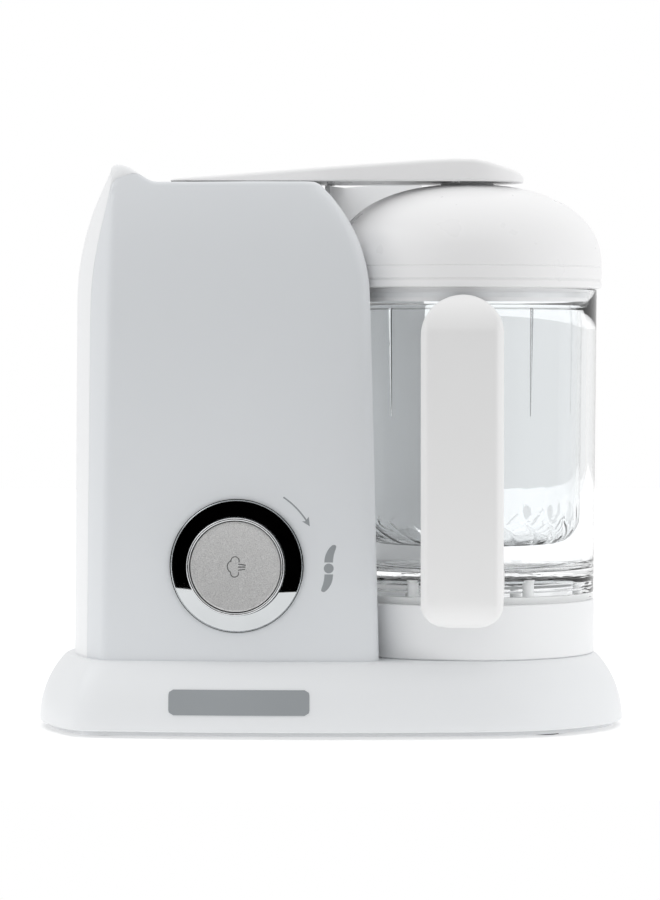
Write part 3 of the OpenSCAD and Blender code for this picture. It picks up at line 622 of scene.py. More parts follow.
def build_dome():
    """Dome lid: grooved skirt, full round top and a shallow port for the steam."""
    r, lip, port = DOME_HIGH.x - AXIS.x, DOME_LOW.z, DECK_TOP - 0.0026
    top, wall = DECK_TOP + 0.0004, 0.0024
    outline = [(r - wall, lip)] + arc(r - 0.0008, lip + 0.0008, 0.0008, -90, 0)
    for low, high, deep in ((0.2142, 0.2151, 0.0005), (0.2208, 0.2213, 0.0003)):
        outline += [(r, low - 0.0002), (r - deep, low), (r - deep, high), (r, high + 0.0002)]
    outline += dome_curve(r, top, 0.0168)[1:]
    outline += [(0.0161, port + 0.0018), (0.0160, port + 0.0004), (0.0156, port), (0.0053, port),
                (0.005, port - 0.0003), (0.005, port - 0.002), (0.018, port - 0.002)]
    outline += list(reversed(dome_curve(r - wall, top - wall, 0.018)))
    return lathe("dome_lid", outline, AXIS, 256, 26)


def bowl_side(z):
    """Outer radius of the bowl at a height."""
    return BOWL_R - 0.0013 * (BOWL_HIGH.z - z) / (BOWL_HIGH.z - BOWL_LOW.z)


def build_bowl():
    """Clear bowl with a rounded rim, a ledge for the basket and a thick foot with a wavy underside."""
    rim, foot, floor = BOWL_HIGH.z, BOWL_LOW.z, 0.076
    r, edge = BOWL_R, 0.0007
    outline = [(0.008, floor - 0.0035)]
    outline += [(0.010 + 0.0012 * i, floor - 0.0035 - 0.0004 * math.sin(i * 0.9)) for i in range(1, 38)]
    outline += [(0.0562, floor - 0.0039), (0.0577, floor - 0.0056)]
    outline += [(0.0578 - 0.0005 * math.sin(i * 1.1) ** 2, floor - 0.0062 - 0.0008 * i)
                for i in range(11)]
    outline += [(0.0578, foot + 0.0002), (0.0582, foot)]
    outline += arc(bowl_side(foot) - edge, foot + edge, edge, -90, 0)
    heights = [foot + (rim - foot) * i / 20 for i in range(1, 20)]
    outline += [(bowl_side(z), z) for z in heights]
    outline += arc(r - edge, rim - edge, edge, 0, 90) + arc(r - 0.0023, rim - 0.0005, 0.0005, 90, 180)
    outline += [(r - 0.0028, 0.2009), (r - 0.0031, 0.2005), (0.0582, 0.2005), (0.058, 0.2002)]
    outline += [(0.058 - 0.0011 * i / 12, 0.2002 - 0.1202 * i / 12) for i in range(1, 12)]
    outline += arc(0.0519, floor + 0.005, 0.005, 0, -90, 12) + [(0.008, floor)]

    def ripple(a, radius, z):
        """The foot's underside waves a little, as thick moulded plastic does."""
        if z < floor - 0.003 and radius < 0.0579:
            wave = math.sin(7 * a + 300 * z) + 0.6 * math.sin(17 * a + 1.3)
            wave += 0.4 * math.sin(29 * a - 500 * z)
            return radius - 0.00012 * (wave + 2), z
        return radius, z

    bowl = lathe("clear_bowl", outline, AXIS, 256, 40, ripple)
    for low in (0.066, 0.191):
        lug = slab("lug", -0.009, 0.009, -0.0697, -0.0605, low + 0.0002, low + 0.0088)
        bevel(lug, 0.0008)
        cut(bowl, moved(lug, HANDLE_FRAME), "UNION")
    soften(bowl, 40)
    return bowl


def bevel(obj, width, segments=3):
    mod = obj.modifiers.new("bevel", "BEVEL")
    mod.width = width
    mod.segments = segments
    return apply_modifiers(obj)


def build_basket():
    """Clear steaming basket: flange and a fluted round corner."""
    low, high = BASKET_LOW.z, BASKET_HIGH.z
    r, wall, round_r = BASKET_R, 0.002, 0.013
    side = r - 0.0012
    flange, flutes = BASKET_FLANGE, 24
    lip = BASKET_HIGH.x - AXIS.x
    outline = [(0.0, low)] + [(0.006 * i, low) for i in range(1, 7)]
    outline += arc(side - round_r, low + round_r, round_r, -90, 0, 20)
    outline += [(side + 0.0012 * i / 12, low + round_r + (high - flange - low - round_r) * i / 12)
                for i in range(1, 13)]
    outline += arc(lip - 0.0004, high - flange + 0.0004, 0.0004, -90, 0, 4)
    outline += arc(lip - 0.0006, high - 0.0006, 0.0006, 0, 90, 5) + [(r - wall + 0.0004, high)]
    outline += [(r - wall, high - 0.0004)]
    outline += [(side - wall + 0.0012 * i / 12, low + round_r + (high - 0.001 - low - round_r) * i / 12)
                for i in range(12, -1, -1)]
    outline += arc(side - round_r, low + round_r, round_r - wall, 0, -90, 20)[1:]
    outline += [(0.006 * i, low + wall) for i in range(6, 0, -1)] + [(0.0, low + wall)]

    def flute(a, radius, z):
        """Petals round the corner, slanted a little, that fade out above and towards the middle."""
        fade = smooth_step((low + 0.0135 - z) / 0.003) * smooth_step((radius - 0.030) / 0.010)
        petal = abs(math.sin(0.5 * flutes * (a + 26 * (z - low)))) ** 0.8
        return radius - 0.0012 * fade * (1 - petal), z

    return lathe("steam_basket", outline, AXIS, flutes * 16, 34, flute)


def build_rib(side):
    """Thin rib down the basket's outside, deepest under the flange."""
    top, foot, r = BASKET_HIGH.z - BASKET_FLANGE, 0.150, BASKET_R - 0.0004
    bm = bmesh.new()
    rings = []
    for i in range(13):
        t = i / 12
        z = foot + (top - foot) * t
        half, deep = 0.0001 + 0.0004 * t ** 0.5, 0.0004 + 0.0011 * t
        lean = 0.0006 * (1 - t)
        rings.append([(-half, r - lean, z), (half, r - lean, z), (half * 0.6, r - lean + deep, z),
                      (-half * 0.6, r - lean + deep, z)])
    cap_ends(bm, skin_rings(bm, rings))
    rib = new_object("rib", bm)
    return moved(rib, Matrix.Translation(AXIS) @ Matrix.Rotation(side, 4, "Z"))


def build_basket_ribs():
    """Five equal ribs round the basket."""
    return join("basket_ribs", [build_rib(math.radians(180 + 30.2 + 72 * i)) for i in range(5)])


def handle_side():
    """Side outline of the handle: distance from the bowl's axis, and height."""
    crown = arc(0.0806, 0.181, 0.026, 20.2, 84.7, 14)
    foot = arc(HANDLE_FACE - 0.014, HANDLE_FOOT + 0.014, 0.014, 0, -90, 10)
    grip = 0.083
    return ([(HANDLE_FACE, 0.1855)] + crown + [(grip - 0.002, 0.207), (0.060, 0.207), (0.060, 0.189)]
            + arc(grip - 0.003, 0.186, 0.003, 90, 0) + arc(grip - 0.003, 0.082, 0.003, 0, -90)
            + [(0.060, 0.079), (0.060, 0.064)] + [(grip, 0.064), (grip + 0.0002, HANDLE_FOOT)] + foot[::-1])


def handle_front(inset):
    """Front outline of the handle: a round top and a flatter round foot."""
    half, low, high = HANDLE_HALF - inset, HANDLE_FOOT + inset, 0.207 - inset
    r = 0.0135
    foot = [(half - r + x, low + 0.8 * (r - z)) for x, z in arc(0, 0, r, 90, 0, 12)]
    return arc(0, high - half, half, 0, 180, 32) + [(-x, z) for x, z in foot[::-1]] + foot


def build_handle():
    """Hollow bowl handle: two outlines crossed, then softened at every edge."""
    side = handle_side()
    bm = bmesh.new()
    cap_ends(bm, skin_rings(bm, [[(x, -u, z) for u, z in side] for x in (-0.030, 0.030)]))
    handle = new_object("bowl_grip", bm)
    bm = bmesh.new()
    layers = ((0.0, 0.040), (0.0, HANDLE_FACE - 0.0040), (0.0030, HANDLE_FACE + 0.0004), (0.0036, 0.110))
    cap_ends(bm, skin_rings(bm, [[(x, -u, z) for x, z in handle_front(inset)] for inset, u in layers]))
    cut(handle, new_object("front", bm), "INTERSECT")
    mesh_again(handle, 0.0009, 9)
    hole = BOWL_R + 0.0003
    cut(handle, prism("hole", circle_points(0, 0, hole, 256), 0.0, 0.3))
    for low in (0.0657, 0.1907):
        cut(handle, slab("socket", -0.0093, 0.0093, -0.0703, -0.050, low, low + 0.0096))
    hollow = slab("hollow", -0.0165, 0.0165, -HANDLE_FACE + 0.003, -HANDLE_FACE + 0.033, 0.082, 0.180)
    for z in HANDLE_BOLTS:
        boss = prism("boss", circle_points(0, 0, 0.003, 32), HANDLE_FACE - 0.0198, HANDLE_FACE + 0.01)
        cut(hollow, moved(boss, Matrix.Translation((0, 0, z)) @ UPRIGHT))
    cut(handle, hollow)
    for z in HANDLE_BOLTS:
        drill = prism("drill", circle_points(0, 0, 0.00104, 24), 0.070, 0.099)
        cut(handle, moved(drill, Matrix.Translation((0, 0, z)) @ UPRIGHT))
    soften(handle, 40)
    return moved(handle, HANDLE_FRAME)


def mesh_again(obj, size, rounds):
    """Even mesh over the whole shape, its edges rounded by smoothing."""
    mod = obj.modifiers.new("remesh", "REMESH")
    mod.mode = "VOXEL"
    mod.voxel_size = size
    mod = obj.modifiers.new("smooth", "SMOOTH")
    mod.factor = 0.6
    mod.iterations = rounds
    return apply_modifiers(obj)


# -------------------------------------------------------------- front pieces

def front_lathe(name, outline, turns=192, smooth=30):
    """Round piece about the knob's axis."""
    return moved(lathe(name, outline, ORIGIN, turns, smooth), front_frame(KNOB.x, KNOB.z))


def build_dish():
    """Chrome collar: a proud bead round a shallow domed ring that climbs to the knob."""
    r, deep, inner = DISH_R, 0.0052, KNOB_R + 0.0004
    edge = r - 0.0012
    steps = 18
    outline = [(r, 0.00002), (r, 0.0007)] + arc(r - 0.0004, 0.0008, 0.0004, 0, 90, 6)
    outline += [(r - 0.0007, 0.00115), (r - 0.0010, 0.0009)]
    for i in range(steps + 1):
        at = edge + (inner - edge) * i / steps
        outline.append((at, 0.0007 + (edge ** 2 - at ** 2) / (2 * COLLAR_R)))
    top = outline[-1][1]
    outline += [(inner - 0.0002, top - 0.0003), (inner - 0.0002, -deep), (0.008, -deep), (0.008, -0.0066),
                (0.0245, -0.0066), (0.0293, -0.0024), (0.0293, 0.00002)]
    return front_lathe("chrome_collar", outline)


def build_knob():
    """Silver knob: a cup with a rolled rim on a hollow stem."""
    r, rim, floor = KNOB_R, 0.0089, -0.0026
    inner = r - 0.0014
    outline = [(0.005, -0.020), (0.0076, -0.020), (0.0076, -0.0047)]
    outline += arc(r - 0.0007, -0.0040, 0.0007, -90, 0, 5) + [(r, 0.0074)]
    outline += arc(r - 0.0007, rim - 0.0007, 0.0007, 0, 180, 12)
    outline += [(inner, rim - 0.0011), (inner, floor + 0.0006), (inner - 0.0006, floor), (0.005, floor)]
    return front_lathe("silver_knob", outline)


def dip(r):
    """How far the button's face is hollowed at a radius."""
    return BUTTON_DIP * max(0, 1 - (r / BUTTON_FACE_R) ** 2)


def build_button():
    """Steam button: a gently hollowed disc on a stem."""
    r, face, low, steps = KNOB_R - 0.0018, BUTTON_FACE, -0.028, 14
    outline = [(0.0, low), (0.0024, low), (0.0024, 0.0056)] + [(r - 0.0002, 0.0056), (r, 0.0058)]
    outline += arc(r - 0.0006, face - 0.0006, 0.0006, 0, 90, 7)
    outline += [(BUTTON_FACE_R * (1 - i / steps), face - dip(BUTTON_FACE_R * (1 - i / steps)))
                for i in range(steps)]
    outline += [(0.0, face - BUTTON_DIP)]
    return front_lathe("button_disc", outline)


def stroke(points, width):
    """Outline of a line with round ends, drawn through points."""
    left, right = [], []
    for i, (x, y) in enumerate(points):
        (x0, y0), (x1, y1) = points[max(i - 1, 0)], points[min(i + 1, len(points) - 1)]
        length = math.hypot(x1 - x0, y1 - y0)
        nx, ny = (y0 - y1) / length * width / 2, (x1 - x0) / length * width / 2
        left.append((x + nx, y + ny))
        right.append((x - nx, y - ny))
    turn = math.degrees(math.atan2(left[-1][1] - points[-1][1], left[-1][0] - points[-1][0]))
    end = arc(*points[-1], width / 2, turn, turn - 180, 7)[1:-1]
    turn = math.degrees(math.atan2(right[0][1] - points[0][1], right[0][0] - points[0][0]))
    start = arc(*points[0], width / 2, turn, turn - 180, 7)[1:-1]
    return start[3:] + left + end + right[::-1] + start[:3]


def bend(p0, p1, p2, steps=10):
    """Points of a simple curve from p0 to p2, pulled towards p1."""
    return [tuple((1 - t) ** 2 * a + 2 * t * (1 - t) * b + t * t * c for a, b, c in zip(p0, p1, p2))
            for t in (i / steps for i in range(steps + 1))]


def print_pad(name, outlines, low, high, to_world):
    """Thin printed shapes, each outline a slab whose points a function sets on a surface."""
    bm = bmesh.new()
    for outline in outlines:
        made = skin_rings(bm, [[to_world(u, v, w) for u, v in outline] for w in (low, high)])
        last = len(outline) - 1
        for ring, way in zip(made, (-1, 1)):
            for i in range(last // 2):
                rung = [ring[i], ring[i + 1], ring[last - i]]
                if last - i - 1 > i + 1:
                    rung.insert(2, ring[last - i - 1])
                bm.faces.new(rung[::way])
    return new_object(name, bm)


def on_casing(u, v, w):
    """Point on the casing's front, from the knob's axis along it and up."""
    lean = math.asin((KNOB.x + u - FRONT_X) / CASING_R)
    r = CASING_R + w
    return (FRONT_X + r * math.sin(lean), MID_Y + FAR - r * math.cos(lean), KNOB.z + v)


def build_marks():
    """Turn arrow and blade mark, printed on the front."""
    r, mark = 0.039, -0.0011 - KNOB.x
    arrow = stroke(arc(0, 0, r, 55.5, 31.5, 16), 0.0007)
    tip, back, side = math.radians(28.6), math.radians(34.4), 0.0019
    head = [(r * math.cos(tip), r * math.sin(tip)),
            ((r + side) * math.cos(back), (r + side) * math.sin(back)),
            ((r - 0.0006) * math.cos(back - 0.02), (r - 0.0006) * math.sin(back - 0.02)),
            ((r - side) * math.cos(back), (r - side) * math.sin(back))]
    drop = -1.1 * MM
    blade = bend((-2.05 * MM, 2.8 * MM), (-1.9 * MM, 8.0 * MM), (1.7 * MM, 10.9 * MM))
    blade += arc(2.6 * MM, 10.1 * MM, 0.95 * MM, 115, 0, 6)
    blade += bend((3.55 * MM, 9.7 * MM), (2.0 * MM, 6.2 * MM), (2.0 * MM, 2.8 * MM))[1:]
    upper = [(mark + x, drop + y) for x, y in blade]
    lower = [(mark - x, drop - y) for x, y in blade]
    dot = circle_points(mark, drop, 0.0023, 40)
    return print_pad("front_marks", [arrow, head, upper, lower, dot], -0.00005, 0.00006, on_casing)


def build_icon():
    """Small steam cloud drawn as three thin arcs, with three short lines beside it."""
    width = 0.40 * MM
    puffs = ((-0.2, 2.75, 1.95, -15, 188), (-0.9, 0.1, 2.95, 117, 241), (-0.4, -2.95, 1.87, 172, 372))
    lines = ((1.4, 1.3, 4.7, 0.75), (1.3, -0.1, 4.5, -0.1), (1.4, -1.6, 4.4, -1.2))
    marks = [stroke(arc(x * MM, y * MM, r * MM, start, end, 14), width) for x, y, r, start, end in puffs]
    marks += [stroke([(x0 * MM, y0 * MM), (x1 * MM, y1 * MM)], width) for x0, y0, x1, y1 in lines]
    frame_at = front_frame(KNOB.x, KNOB.z)

    def on_button(u, v, w):
        return frame_at @ Vector((u, v, BUTTON_FACE - dip(math.hypot(u, v)) + w))

    return print_pad("steam_icon", marks, -0.0001, 0.00004, on_button)


def build_badge():
    """Blank rounded badge on the plinth's curved front."""
    half, low, high, r = 0.033, 0.0112, 0.0228, 0.0022
    bm = bmesh.new()
    cells_x, cells_z = 44, 10
    rings = []
    for w in (-0.0002, 0.0005):
        grid = []
        for j in range(cells_z + 1):
            z = low + (high - low) * j / cells_z
            edge = min(z - low, high - z)
            reach = half - round_in(edge, r) - (0.00025 if w > 0 else 0)
            for i in range(cells_x + 1):
                x = BADGE_X - reach + 2 * reach * i / cells_x
                out = FRONT_R - bulge(z) + w
                y = MID_Y + FAR - math.sqrt(out ** 2 - (x - FRONT_X) ** 2)
                grid.append(bm.verts.new((x, y, z)))
        rings.append(grid)
    wide = cells_x + 1
    for k, grid in enumerate(rings):
        for j in range(cells_z):
            for i in range(cells_x):
                p = j * wide + i
                bm.faces.new([grid[q] for q in (p, p + 1, p + wide + 1, p + wide)])
    border = list(range(cells_x)) + [cells_x + wide * j for j in range(cells_z)]
    border += [wide * cells_z + i for i in range(cells_x, 0, -1)]
    border += [wide * j for j in range(cells_z, 0, -1)]
    for a, b in zip(border, border[1:] + border[:1]):
        bm.faces.new((rings[0][a], rings[0][b], rings[1][b], rings[1][a]))
    return new_object("plinth_badge", bm, 30)


# ----------------------------------------------------------------- materials

class Nodes:
    """Short-hand for making one material's node tree."""

    def __init__(self, name):
        self.mat = bpy.data.materials.new(name)
        self.mat.use_nodes = True
        self.tree = self.mat.node_tree
        self.shader = self.tree.nodes["Principled BSDF"]
        self.coords = self.tree.nodes.new("ShaderNodeTexCoord").outputs["Object"]

    def add(self, kind, **values):
        node = self.tree.nodes.new(kind)
        for key, value in values.items():
            if key in node.inputs:
                node.inputs[key].default_value = value
            else:
                setattr(node, key, value)
        return node

    def link(self, a, b):
        self.tree.links.new(a, b)

    def stretched(self, stretch):
        if stretch == (1, 1, 1):
            return self.coords
        mapping = self.add("ShaderNodeMapping", Scale=stretch)
        self.link(self.coords, mapping.inputs["Vector"])
        return mapping.outputs["Vector"]

    def noise(self, scale, detail=3.0, stretch=(1, 1, 1)):
        node = self.add("ShaderNodeTexNoise", Scale=scale, Detail=detail)
        self.link(self.stretched(stretch), node.inputs["Vector"])
        return node.outputs["Fac"]

    def wave(self, scale, direction="Z", distortion=0.0):
        node = self.add("ShaderNodeTexWave", Scale=scale, Distortion=distortion, bands_direction=direction)
        self.link(self.coords, node.inputs["Vector"])
        return node.outputs["Fac"]

    def ramp(self, value, *stops):
        node = self.add("ShaderNodeValToRGB")
        while len(node.color_ramp.elements) < len(stops):
            node.color_ramp.elements.new(0.5)
        for element, (at, color) in zip(node.color_ramp.elements, stops):
            element.position = at
            element.color = (*color, 1)
        self.link(value, node.inputs["Fac"])
        self.link(node.outputs["Color"], self.shader.inputs["Base Color"])

    def span(self, value, low, high, socket):
        node = self.add("ShaderNodeMapRange")
        node.inputs["From Min"].default_value = 0.3
        node.inputs["From Max"].default_value = 0.7
        node.inputs["To Min"].default_value = low
        node.inputs["To Max"].default_value = high
        self.link(value, node.inputs["Value"])
        self.link(node.outputs["Result"], self.shader.inputs[socket])

    def bump(self, value, depth, strength=0.5):
        node = self.add("ShaderNodeBump", Strength=strength, Distance=depth)
        self.link(value, node.inputs["Height"])
        self.link(node.outputs["Normal"], self.shader.inputs["Normal"])


def shade(color, factor):
    """A colour made darker or lighter."""
    return tuple(clamp(c * factor) for c in color)


def moulded(name, color, rough=0.34, grain=1400.0, depth=0.00003, tint=0.02):
    """Moulded plastic: fine grain, slight flow marks and a little colour drift."""
    n = Nodes(name)
    n.ramp(n.noise(14.0, 4.0), (0.2, shade(color, 1 - tint)), (0.8, shade(color, 1 + tint)))
    n.span(n.noise(60.0, 3.0), rough - 0.03, rough + 0.04, "Roughness")
    n.bump(n.noise(grain, 2.0), depth, 0.3)
    n.shader.inputs["IOR"].default_value = 1.5
    return n.mat


def metal(name, color, rough=0.25, stretch=(1, 1, 60), depth=0.00002, grain=300.0):
    """Metal with fine tool marks along one direction."""
    n = Nodes(name)
    marks = n.noise(grain, 4.0, stretch)
    n.ramp(marks, (0.3, shade(color, 0.86)), (0.7, color))
    n.span(marks, rough - 0.06, rough + 0.09, "Roughness")
    n.bump(marks, depth, 0.35)
    n.shader.inputs["Metallic"].default_value = 1.0
    return n.mat


def polished(name, color):
    """Mirror chrome with faint smears."""
    n = Nodes(name)
    smears = n.noise(90.0, 3.0)
    n.ramp(smears, (0.3, shade(color, 0.96)), (0.7, color))
    n.span(smears, 0.02, 0.05, "Roughness")
    n.bump(smears, 0.000004, 0.2)
    n.shader.inputs["Metallic"].default_value = 1.0
    return n.mat


def banded(name, dark, light, bands, direction="Z", rough=0.4, metallic=1.0, depth=0.0002):
    """Stacked sheets or wound wire: even bands with a groove between them."""
    n = Nodes(name)
    lines = n.wave(bands, direction)
    n.ramp(lines, (0.05, dark), (0.35, light))
    n.span(n.noise(90.0, 3.0), rough - 0.08, rough + 0.1, "Roughness")
    n.bump(lines, depth, 0.6)
    n.shader.inputs["Metallic"].default_value = metallic
    return n.mat


def soft_rubber(name, color, rough=0.62):
    """Rubber or silicone: matt, with a faint bloom."""
    n = Nodes(name)
    n.ramp(n.noise(40.0, 5.0), (0.35, shade(color, 0.85)), (0.7, shade(color, 1.12)))
    n.span(n.noise(120.0, 2.0), rough - 0.08, rough + 0.12, "Roughness")
    n.bump(n.noise(2200.0, 2.0), 0.00004, 0.4)
    return n.mat


def clear(name, color=(0.985, 0.995, 1.0)):
    """Clear moulded plastic with faint flow lines and hazy spots; soft light passes straight through."""
    n = Nodes(name)
    n.ramp(n.noise(9.0, 3.0), (0.3, shade(color, 0.985)), (0.7, color))
    n.span(n.noise(30.0, 3.0, (1, 1, 0.25)), 0.002, 0.02, "Roughness")
    n.bump(n.noise(28.0, 2.0, (1, 1, 0.2)), 0.0002, 0.08)
    n.shader.inputs["Transmission Weight"].default_value = 1.0
    n.shader.inputs["IOR"].default_value = 1.32
    thin = n.add("ShaderNodeBsdfTransparent", Color=(1, 1, 1, 1))
    path = n.add("ShaderNodeLightPath")
    pick = n.add("ShaderNodeMath", operation="MAXIMUM")
    n.link(path.outputs["Is Diffuse Ray"], pick.inputs[0])
    n.link(path.outputs["Is Shadow Ray"], pick.inputs[1])
    blend = n.add("ShaderNodeMixShader")
    for source, target in zip((pick, n.shader, thin), blend.inputs):
        n.link(source.outputs[0], target)
    n.link(blend.outputs[0], n.tree.nodes["Material Output"].inputs["Surface"])
    return n.mat


def satin_button(name):
    """Satin metal disc with a fine sparkling grain."""
    n = Nodes(name)
    sparkle = n.noise(2600.0, 3.0)
    n.ramp(sparkle, (0.3, (0.64, 0.64, 0.64)), (0.68, (0.98, 0.98, 0.97)))
    n.span(n.noise(1500.0, 2.0), 0.32, 0.48, "Roughness")
    n.bump(sparkle, 0.0002, 0.5)
    n.shader.inputs["Metallic"].default_value = 0.6
    return n.mat


def circuit_board(name):
    """Green board with paler tracks in a cell pattern."""
    n = Nodes(name)
    node = n.add("ShaderNodeTexVoronoi", Scale=220.0, distance="MANHATTAN", feature="DISTANCE_TO_EDGE")
    n.link(n.coords, node.inputs["Vector"])
    tracks = node.outputs["Distance"]
    n.ramp(tracks, (0.02, (0.10, 0.30, 0.14)), (0.10, (0.02, 0.14, 0.06)))
    n.span(n.noise(80.0), 0.30, 0.5, "Roughness")
    n.bump(tracks, 0.00008, 0.4)
    return n.mat


def build_materials():
    return {
        # The front panel is the same white plastic as the rear shell; its colour is set darker as painted
        # shade on the front face.
        "panel": moulded("panel_white_painted_shade", (0.735, 0.757, 0.78), 0.36, 1600.0, 0.00002, 0.005),
        "side": moulded("shell_white", (0.88, 0.89, 0.90), 0.36, 1600.0, 0.00002, 0.010),
        "plinth": moulded("plinth_white", (0.83, 0.845, 0.86), 0.32, 1600.0, 0.00002, 0.005),
        "dome": moulded("dome_white", (0.93, 0.93, 0.935), 0.30, 1500.0, 0.00002, 0.004),
        "grip": moulded("grip_white", (0.86, 0.86, 0.86), 0.42, 1200.0, 0.00003, 0.010),
        "white_shell": moulded("inner_white", (0.86, 0.87, 0.87), 0.42, 1100.0, 0.00004, 0.02),
        "clear_plastic": clear("clear_plastic"),
        "rubber": soft_rubber("black_rubber", (0.06, 0.06, 0.065)),
        "silicone": soft_rubber("pale_silicone", (0.86, 0.87, 0.88), 0.5),
        "steel": metal("brushed_steel", (0.72, 0.72, 0.73), 0.24),
        "heater_metal": metal("cast_aluminium", (0.62, 0.61, 0.60), 0.42, (1, 1, 1), 0.0001, 500.0),
        "laminations": banded("sheet_stack", (0.10, 0.10, 0.11), (0.42, 0.43, 0.45), 260.0),
        "copper": banded("wound_copper", (0.30, 0.10, 0.04), (0.80, 0.38, 0.18), 200.0, "DIAGONAL", 0.32),
        "motor_metal": metal("plated_steel", (0.56, 0.56, 0.55), 0.34, (1, 1, 1), 0.00006, 420.0),
        "dark_plastic": moulded("dark_plastic", (0.09, 0.09, 0.10), 0.48, 900.0, 0.00006, 0.12),
        "bush_bronze": metal("sintered_bronze", (0.62, 0.42, 0.20), 0.45, (1, 1, 1), 0.00008, 1400.0),
        "fan_plastic": moulded("fan_nylon", (0.80, 0.80, 0.77), 0.5, 700.0, 0.00006, 0.04),
        "board": circuit_board("circuit_board"),
        "dish_chrome": polished("polished_chrome", (0.60, 0.62, 0.63)),
        "knob_silver": metal("silver_rim", (0.78, 0.79, 0.80), 0.20, (1, 1, 1), 0.00001, 900.0),
        "button_satin": satin_button("satin_button"),
        "icon_ink": moulded("icon_ink", (0.045, 0.047, 0.05), 0.5, 1800.0, 0.00003, 0.05),
        "print_gray": moulded("print_gray", (0.31, 0.33, 0.345), 0.5, 1800.0, 0.00003, 0.05),
    }


# ----------------------------------------------------------- light and camera

def build_world():
    """White studio: bright at the sides, above and behind, and dark round the camera."""
    world = bpy.data.worlds.new("studio")
    bpy.context.scene.world = world
    world.use_nodes = True
    tree = world.node_tree
    back = tree.nodes["Background"]
    split = tree.nodes.new("ShaderNodeSeparateXYZ")
    tree.links.new(tree.nodes.new("ShaderNodeTexCoord").outputs["Generated"], split.inputs[0])
    path = tree.nodes.new("ShaderNodeLightPath")

    def math_node(kind, a, b):
        node = tree.nodes.new("ShaderNodeMath")
        node.operation = kind
        for socket, value in zip(node.inputs, (a, b)):
            if isinstance(value, (int, float)):
                socket.default_value = value
            else:
                tree.links.new(value, socket)
        return node.outputs[0]

    def ease(value, start, end, low, high):
        node = tree.nodes.new("ShaderNodeMapRange")
        node.interpolation_type = "SMOOTHSTEP"
        for key, number in zip(("From Min", "From Max", "To Min", "To Max"), (start, end, low, high)):
            node.inputs[key].default_value = number
        tree.links.new(value, node.inputs["Value"])
        return node.outputs["Result"]

    front = ease(split.outputs["Y"], -0.9, 0.15, DARK_FRONT, 0.0)
    bounced = math_node("SUBTRACT", path.outputs["Is Glossy Ray"], path.outputs["Is Transmission Ray"])
    mirror = math_node("MULTIPLY", ease(split.outputs["Y"], *DARK_FACE, 1.0, 0.0),
                       math_node("MAXIMUM", bounced, 0.0))
    rear = math_node("MULTIPLY", ease(split.outputs["Y"], 0.0, 0.9, 0.0, DARK_BACK),
                     path.outputs["Is Diffuse Ray"])
    dim = math_node("SUBTRACT", 1.0, math_node("MAXIMUM", math_node("MAXIMUM", front, mirror), rear))
    lift = ease(split.outputs["Z"], -0.2, 0.9, SIDE_LIGHT, TOP_LIGHT)
    lean = math_node("ADD", LEAN[0], math_node("MULTIPLY", split.outputs["X"], LEAN[1]))
    light = math_node("MULTIPLY", math_node("MULTIPLY", dim, lift), lean)
    seen = math_node("MAXIMUM", light, path.outputs["Is Camera Ray"])
    tree.links.new(seen, back.inputs["Strength"])
    back.inputs["Color"].default_value = (1, 1, 1, 1)


def build_lamp():
    """Weak soft box on the left, above the casing."""
    at, aim = Vector((-0.55, -0.08, 0.58)), Vector((-0.12, 0, 0.22))
    light = bpy.data.lights.new("left_box", "AREA")
    light.shape = "RECTANGLE"
    light.size, light.size_y = 0.4, 0.4
    light.energy = 0.5
    lamp = bpy.data.objects.new("left_box", light)
    lamp.location = at
    lamp.rotation_euler = (aim - at).to_track_quat("-Z", "Y").to_euler()
    bpy.context.scene.collection.objects.link(lamp)


def build_floor():
    """Pale studio floor, which looks as white as the studio behind it."""
    bm = bmesh.new()
    near = BASE_LOW.y - FLOOR_FRONT
    corners = ((-2, near), (2, near), (2, 3), (-2, 3))
    bm.faces.new([bm.verts.new((x, y, 0)) for x, y in corners])
    floor = new_object("studio_floor", bm)
    n = Nodes("studio_paper")
    n.ramp(n.noise(3.0), (0.4, (0.86, 0.86, 0.86)), (0.6, (0.88, 0.88, 0.88)))
    n.span(n.noise(20.0), 0.7, 0.9, "Roughness")
    n.shader.inputs["Emission Color"].default_value = (1, 1, 1, 1)
    n.shader.inputs["Emission Strength"].default_value = 0.3
    floor.data.materials.append(n.mat)


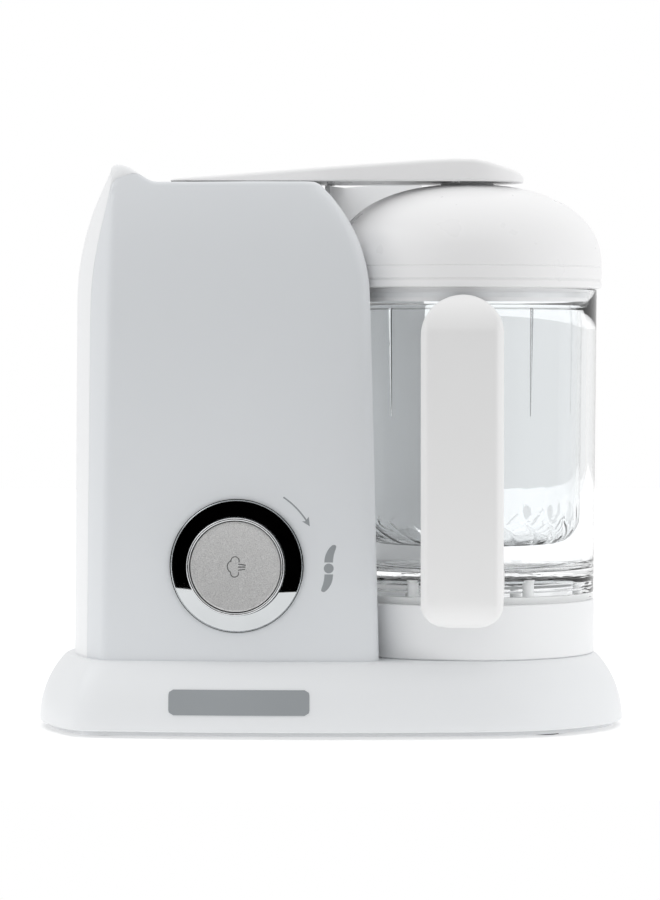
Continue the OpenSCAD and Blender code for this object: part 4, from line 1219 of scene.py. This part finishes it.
def build_camera():
    """Long lens level with the dome, pitched down a little."""
    camera = bpy.data.cameras.new("camera")
    camera.sensor_fit = "VERTICAL"
    camera.sensor_height = 36.0
    camera.lens = LENS
    camera.clip_end = 20
    eye = bpy.data.objects.new("camera", camera)
    eye.location = CAMERA_AT
    eye.rotation_euler = (math.radians(90 - CAMERA_TILT), 0, 0)
    bpy.context.scene.collection.objects.link(eye)
    bpy.context.scene.camera = eye


# ------------------------------------------------------------------ assembly

SPECIAL = {"top_deck": "side", "bottom_plate": "plinth", "arm_liner": "dome", "lid_inner": "dome",
           "outlet_seal": "dome"}


def dress_cad(materials):
    """Gives every CAD node its slot's material and smooth shading."""
    slots = {part["node"]: part["material_slot"] for part in frame["record"]["subparts"]}
    for name, obj in nodes.items():
        finish = materials[SPECIAL.get(name, slots[name])]
        if not obj.material_slots:
            obj.data.materials.append(finish)
        for holder in obj.material_slots:
            holder.material = finish
        soften(obj, 30)


# Each piece's function, body, slot, material and the CAD node it stands for, if any
PIECES = (
    (build_plinth, "housing", "white_shell", "plinth", "base_shell"),
    (build_drive_housing, "housing", "white_shell", "side", "drive_housing"),
    (build_dish, "housing", "dish_chrome", "dish_chrome", "dial_bezel"),
    (build_badge, "housing", "print_gray", "print_gray", "badge_plate"),
    (build_marks, "housing", "print_gray", "print_gray", "front_markings"),
    (build_arm, "arm", "white_shell", "dome", "arm_cover"),
    (build_dome, "lid", "white_shell", "dome", "lid_dome"),
    (build_bowl, "bowl_unit", "clear_plastic", "clear_plastic", "bowl"),
    (build_basket, "bowl_unit", "clear_plastic", "clear_plastic", "basket"),
    (build_basket_ribs, "bowl_unit", "clear_plastic", "clear_plastic"),
    (build_handle, "bowl_unit", "white_shell", "grip", "bowl_handle"),
    (build_knob, "dial", "knob_silver", "knob_silver", "dial_knob"),
    (build_button, "button", "button_satin", "button_satin", "steam_button"),
    (build_icon, "button", "print_gray", "icon_ink"),
)


def build_pieces(materials):
    """Builds every visual piece and sets it on its body."""
    front, rear = build_casing()
    # The front shell gets the darker panel material, whose colour holds painted shade.
    place(front, "housing", "white_shell", materials["panel"], "front_shell")
    place(rear, "housing", "white_shell", materials["side"], "main_shell")
    for build, body, slot, finish, *replaced in PIECES:
        place(build(), body, slot, materials[finish], *replaced)


bpy.context.scene.view_settings.view_transform = "Standard"
build_camera()
build_world()
build_floor()
build_lamp()
finishes = build_materials()
dress_cad(finishes)
build_pieces(finishes)
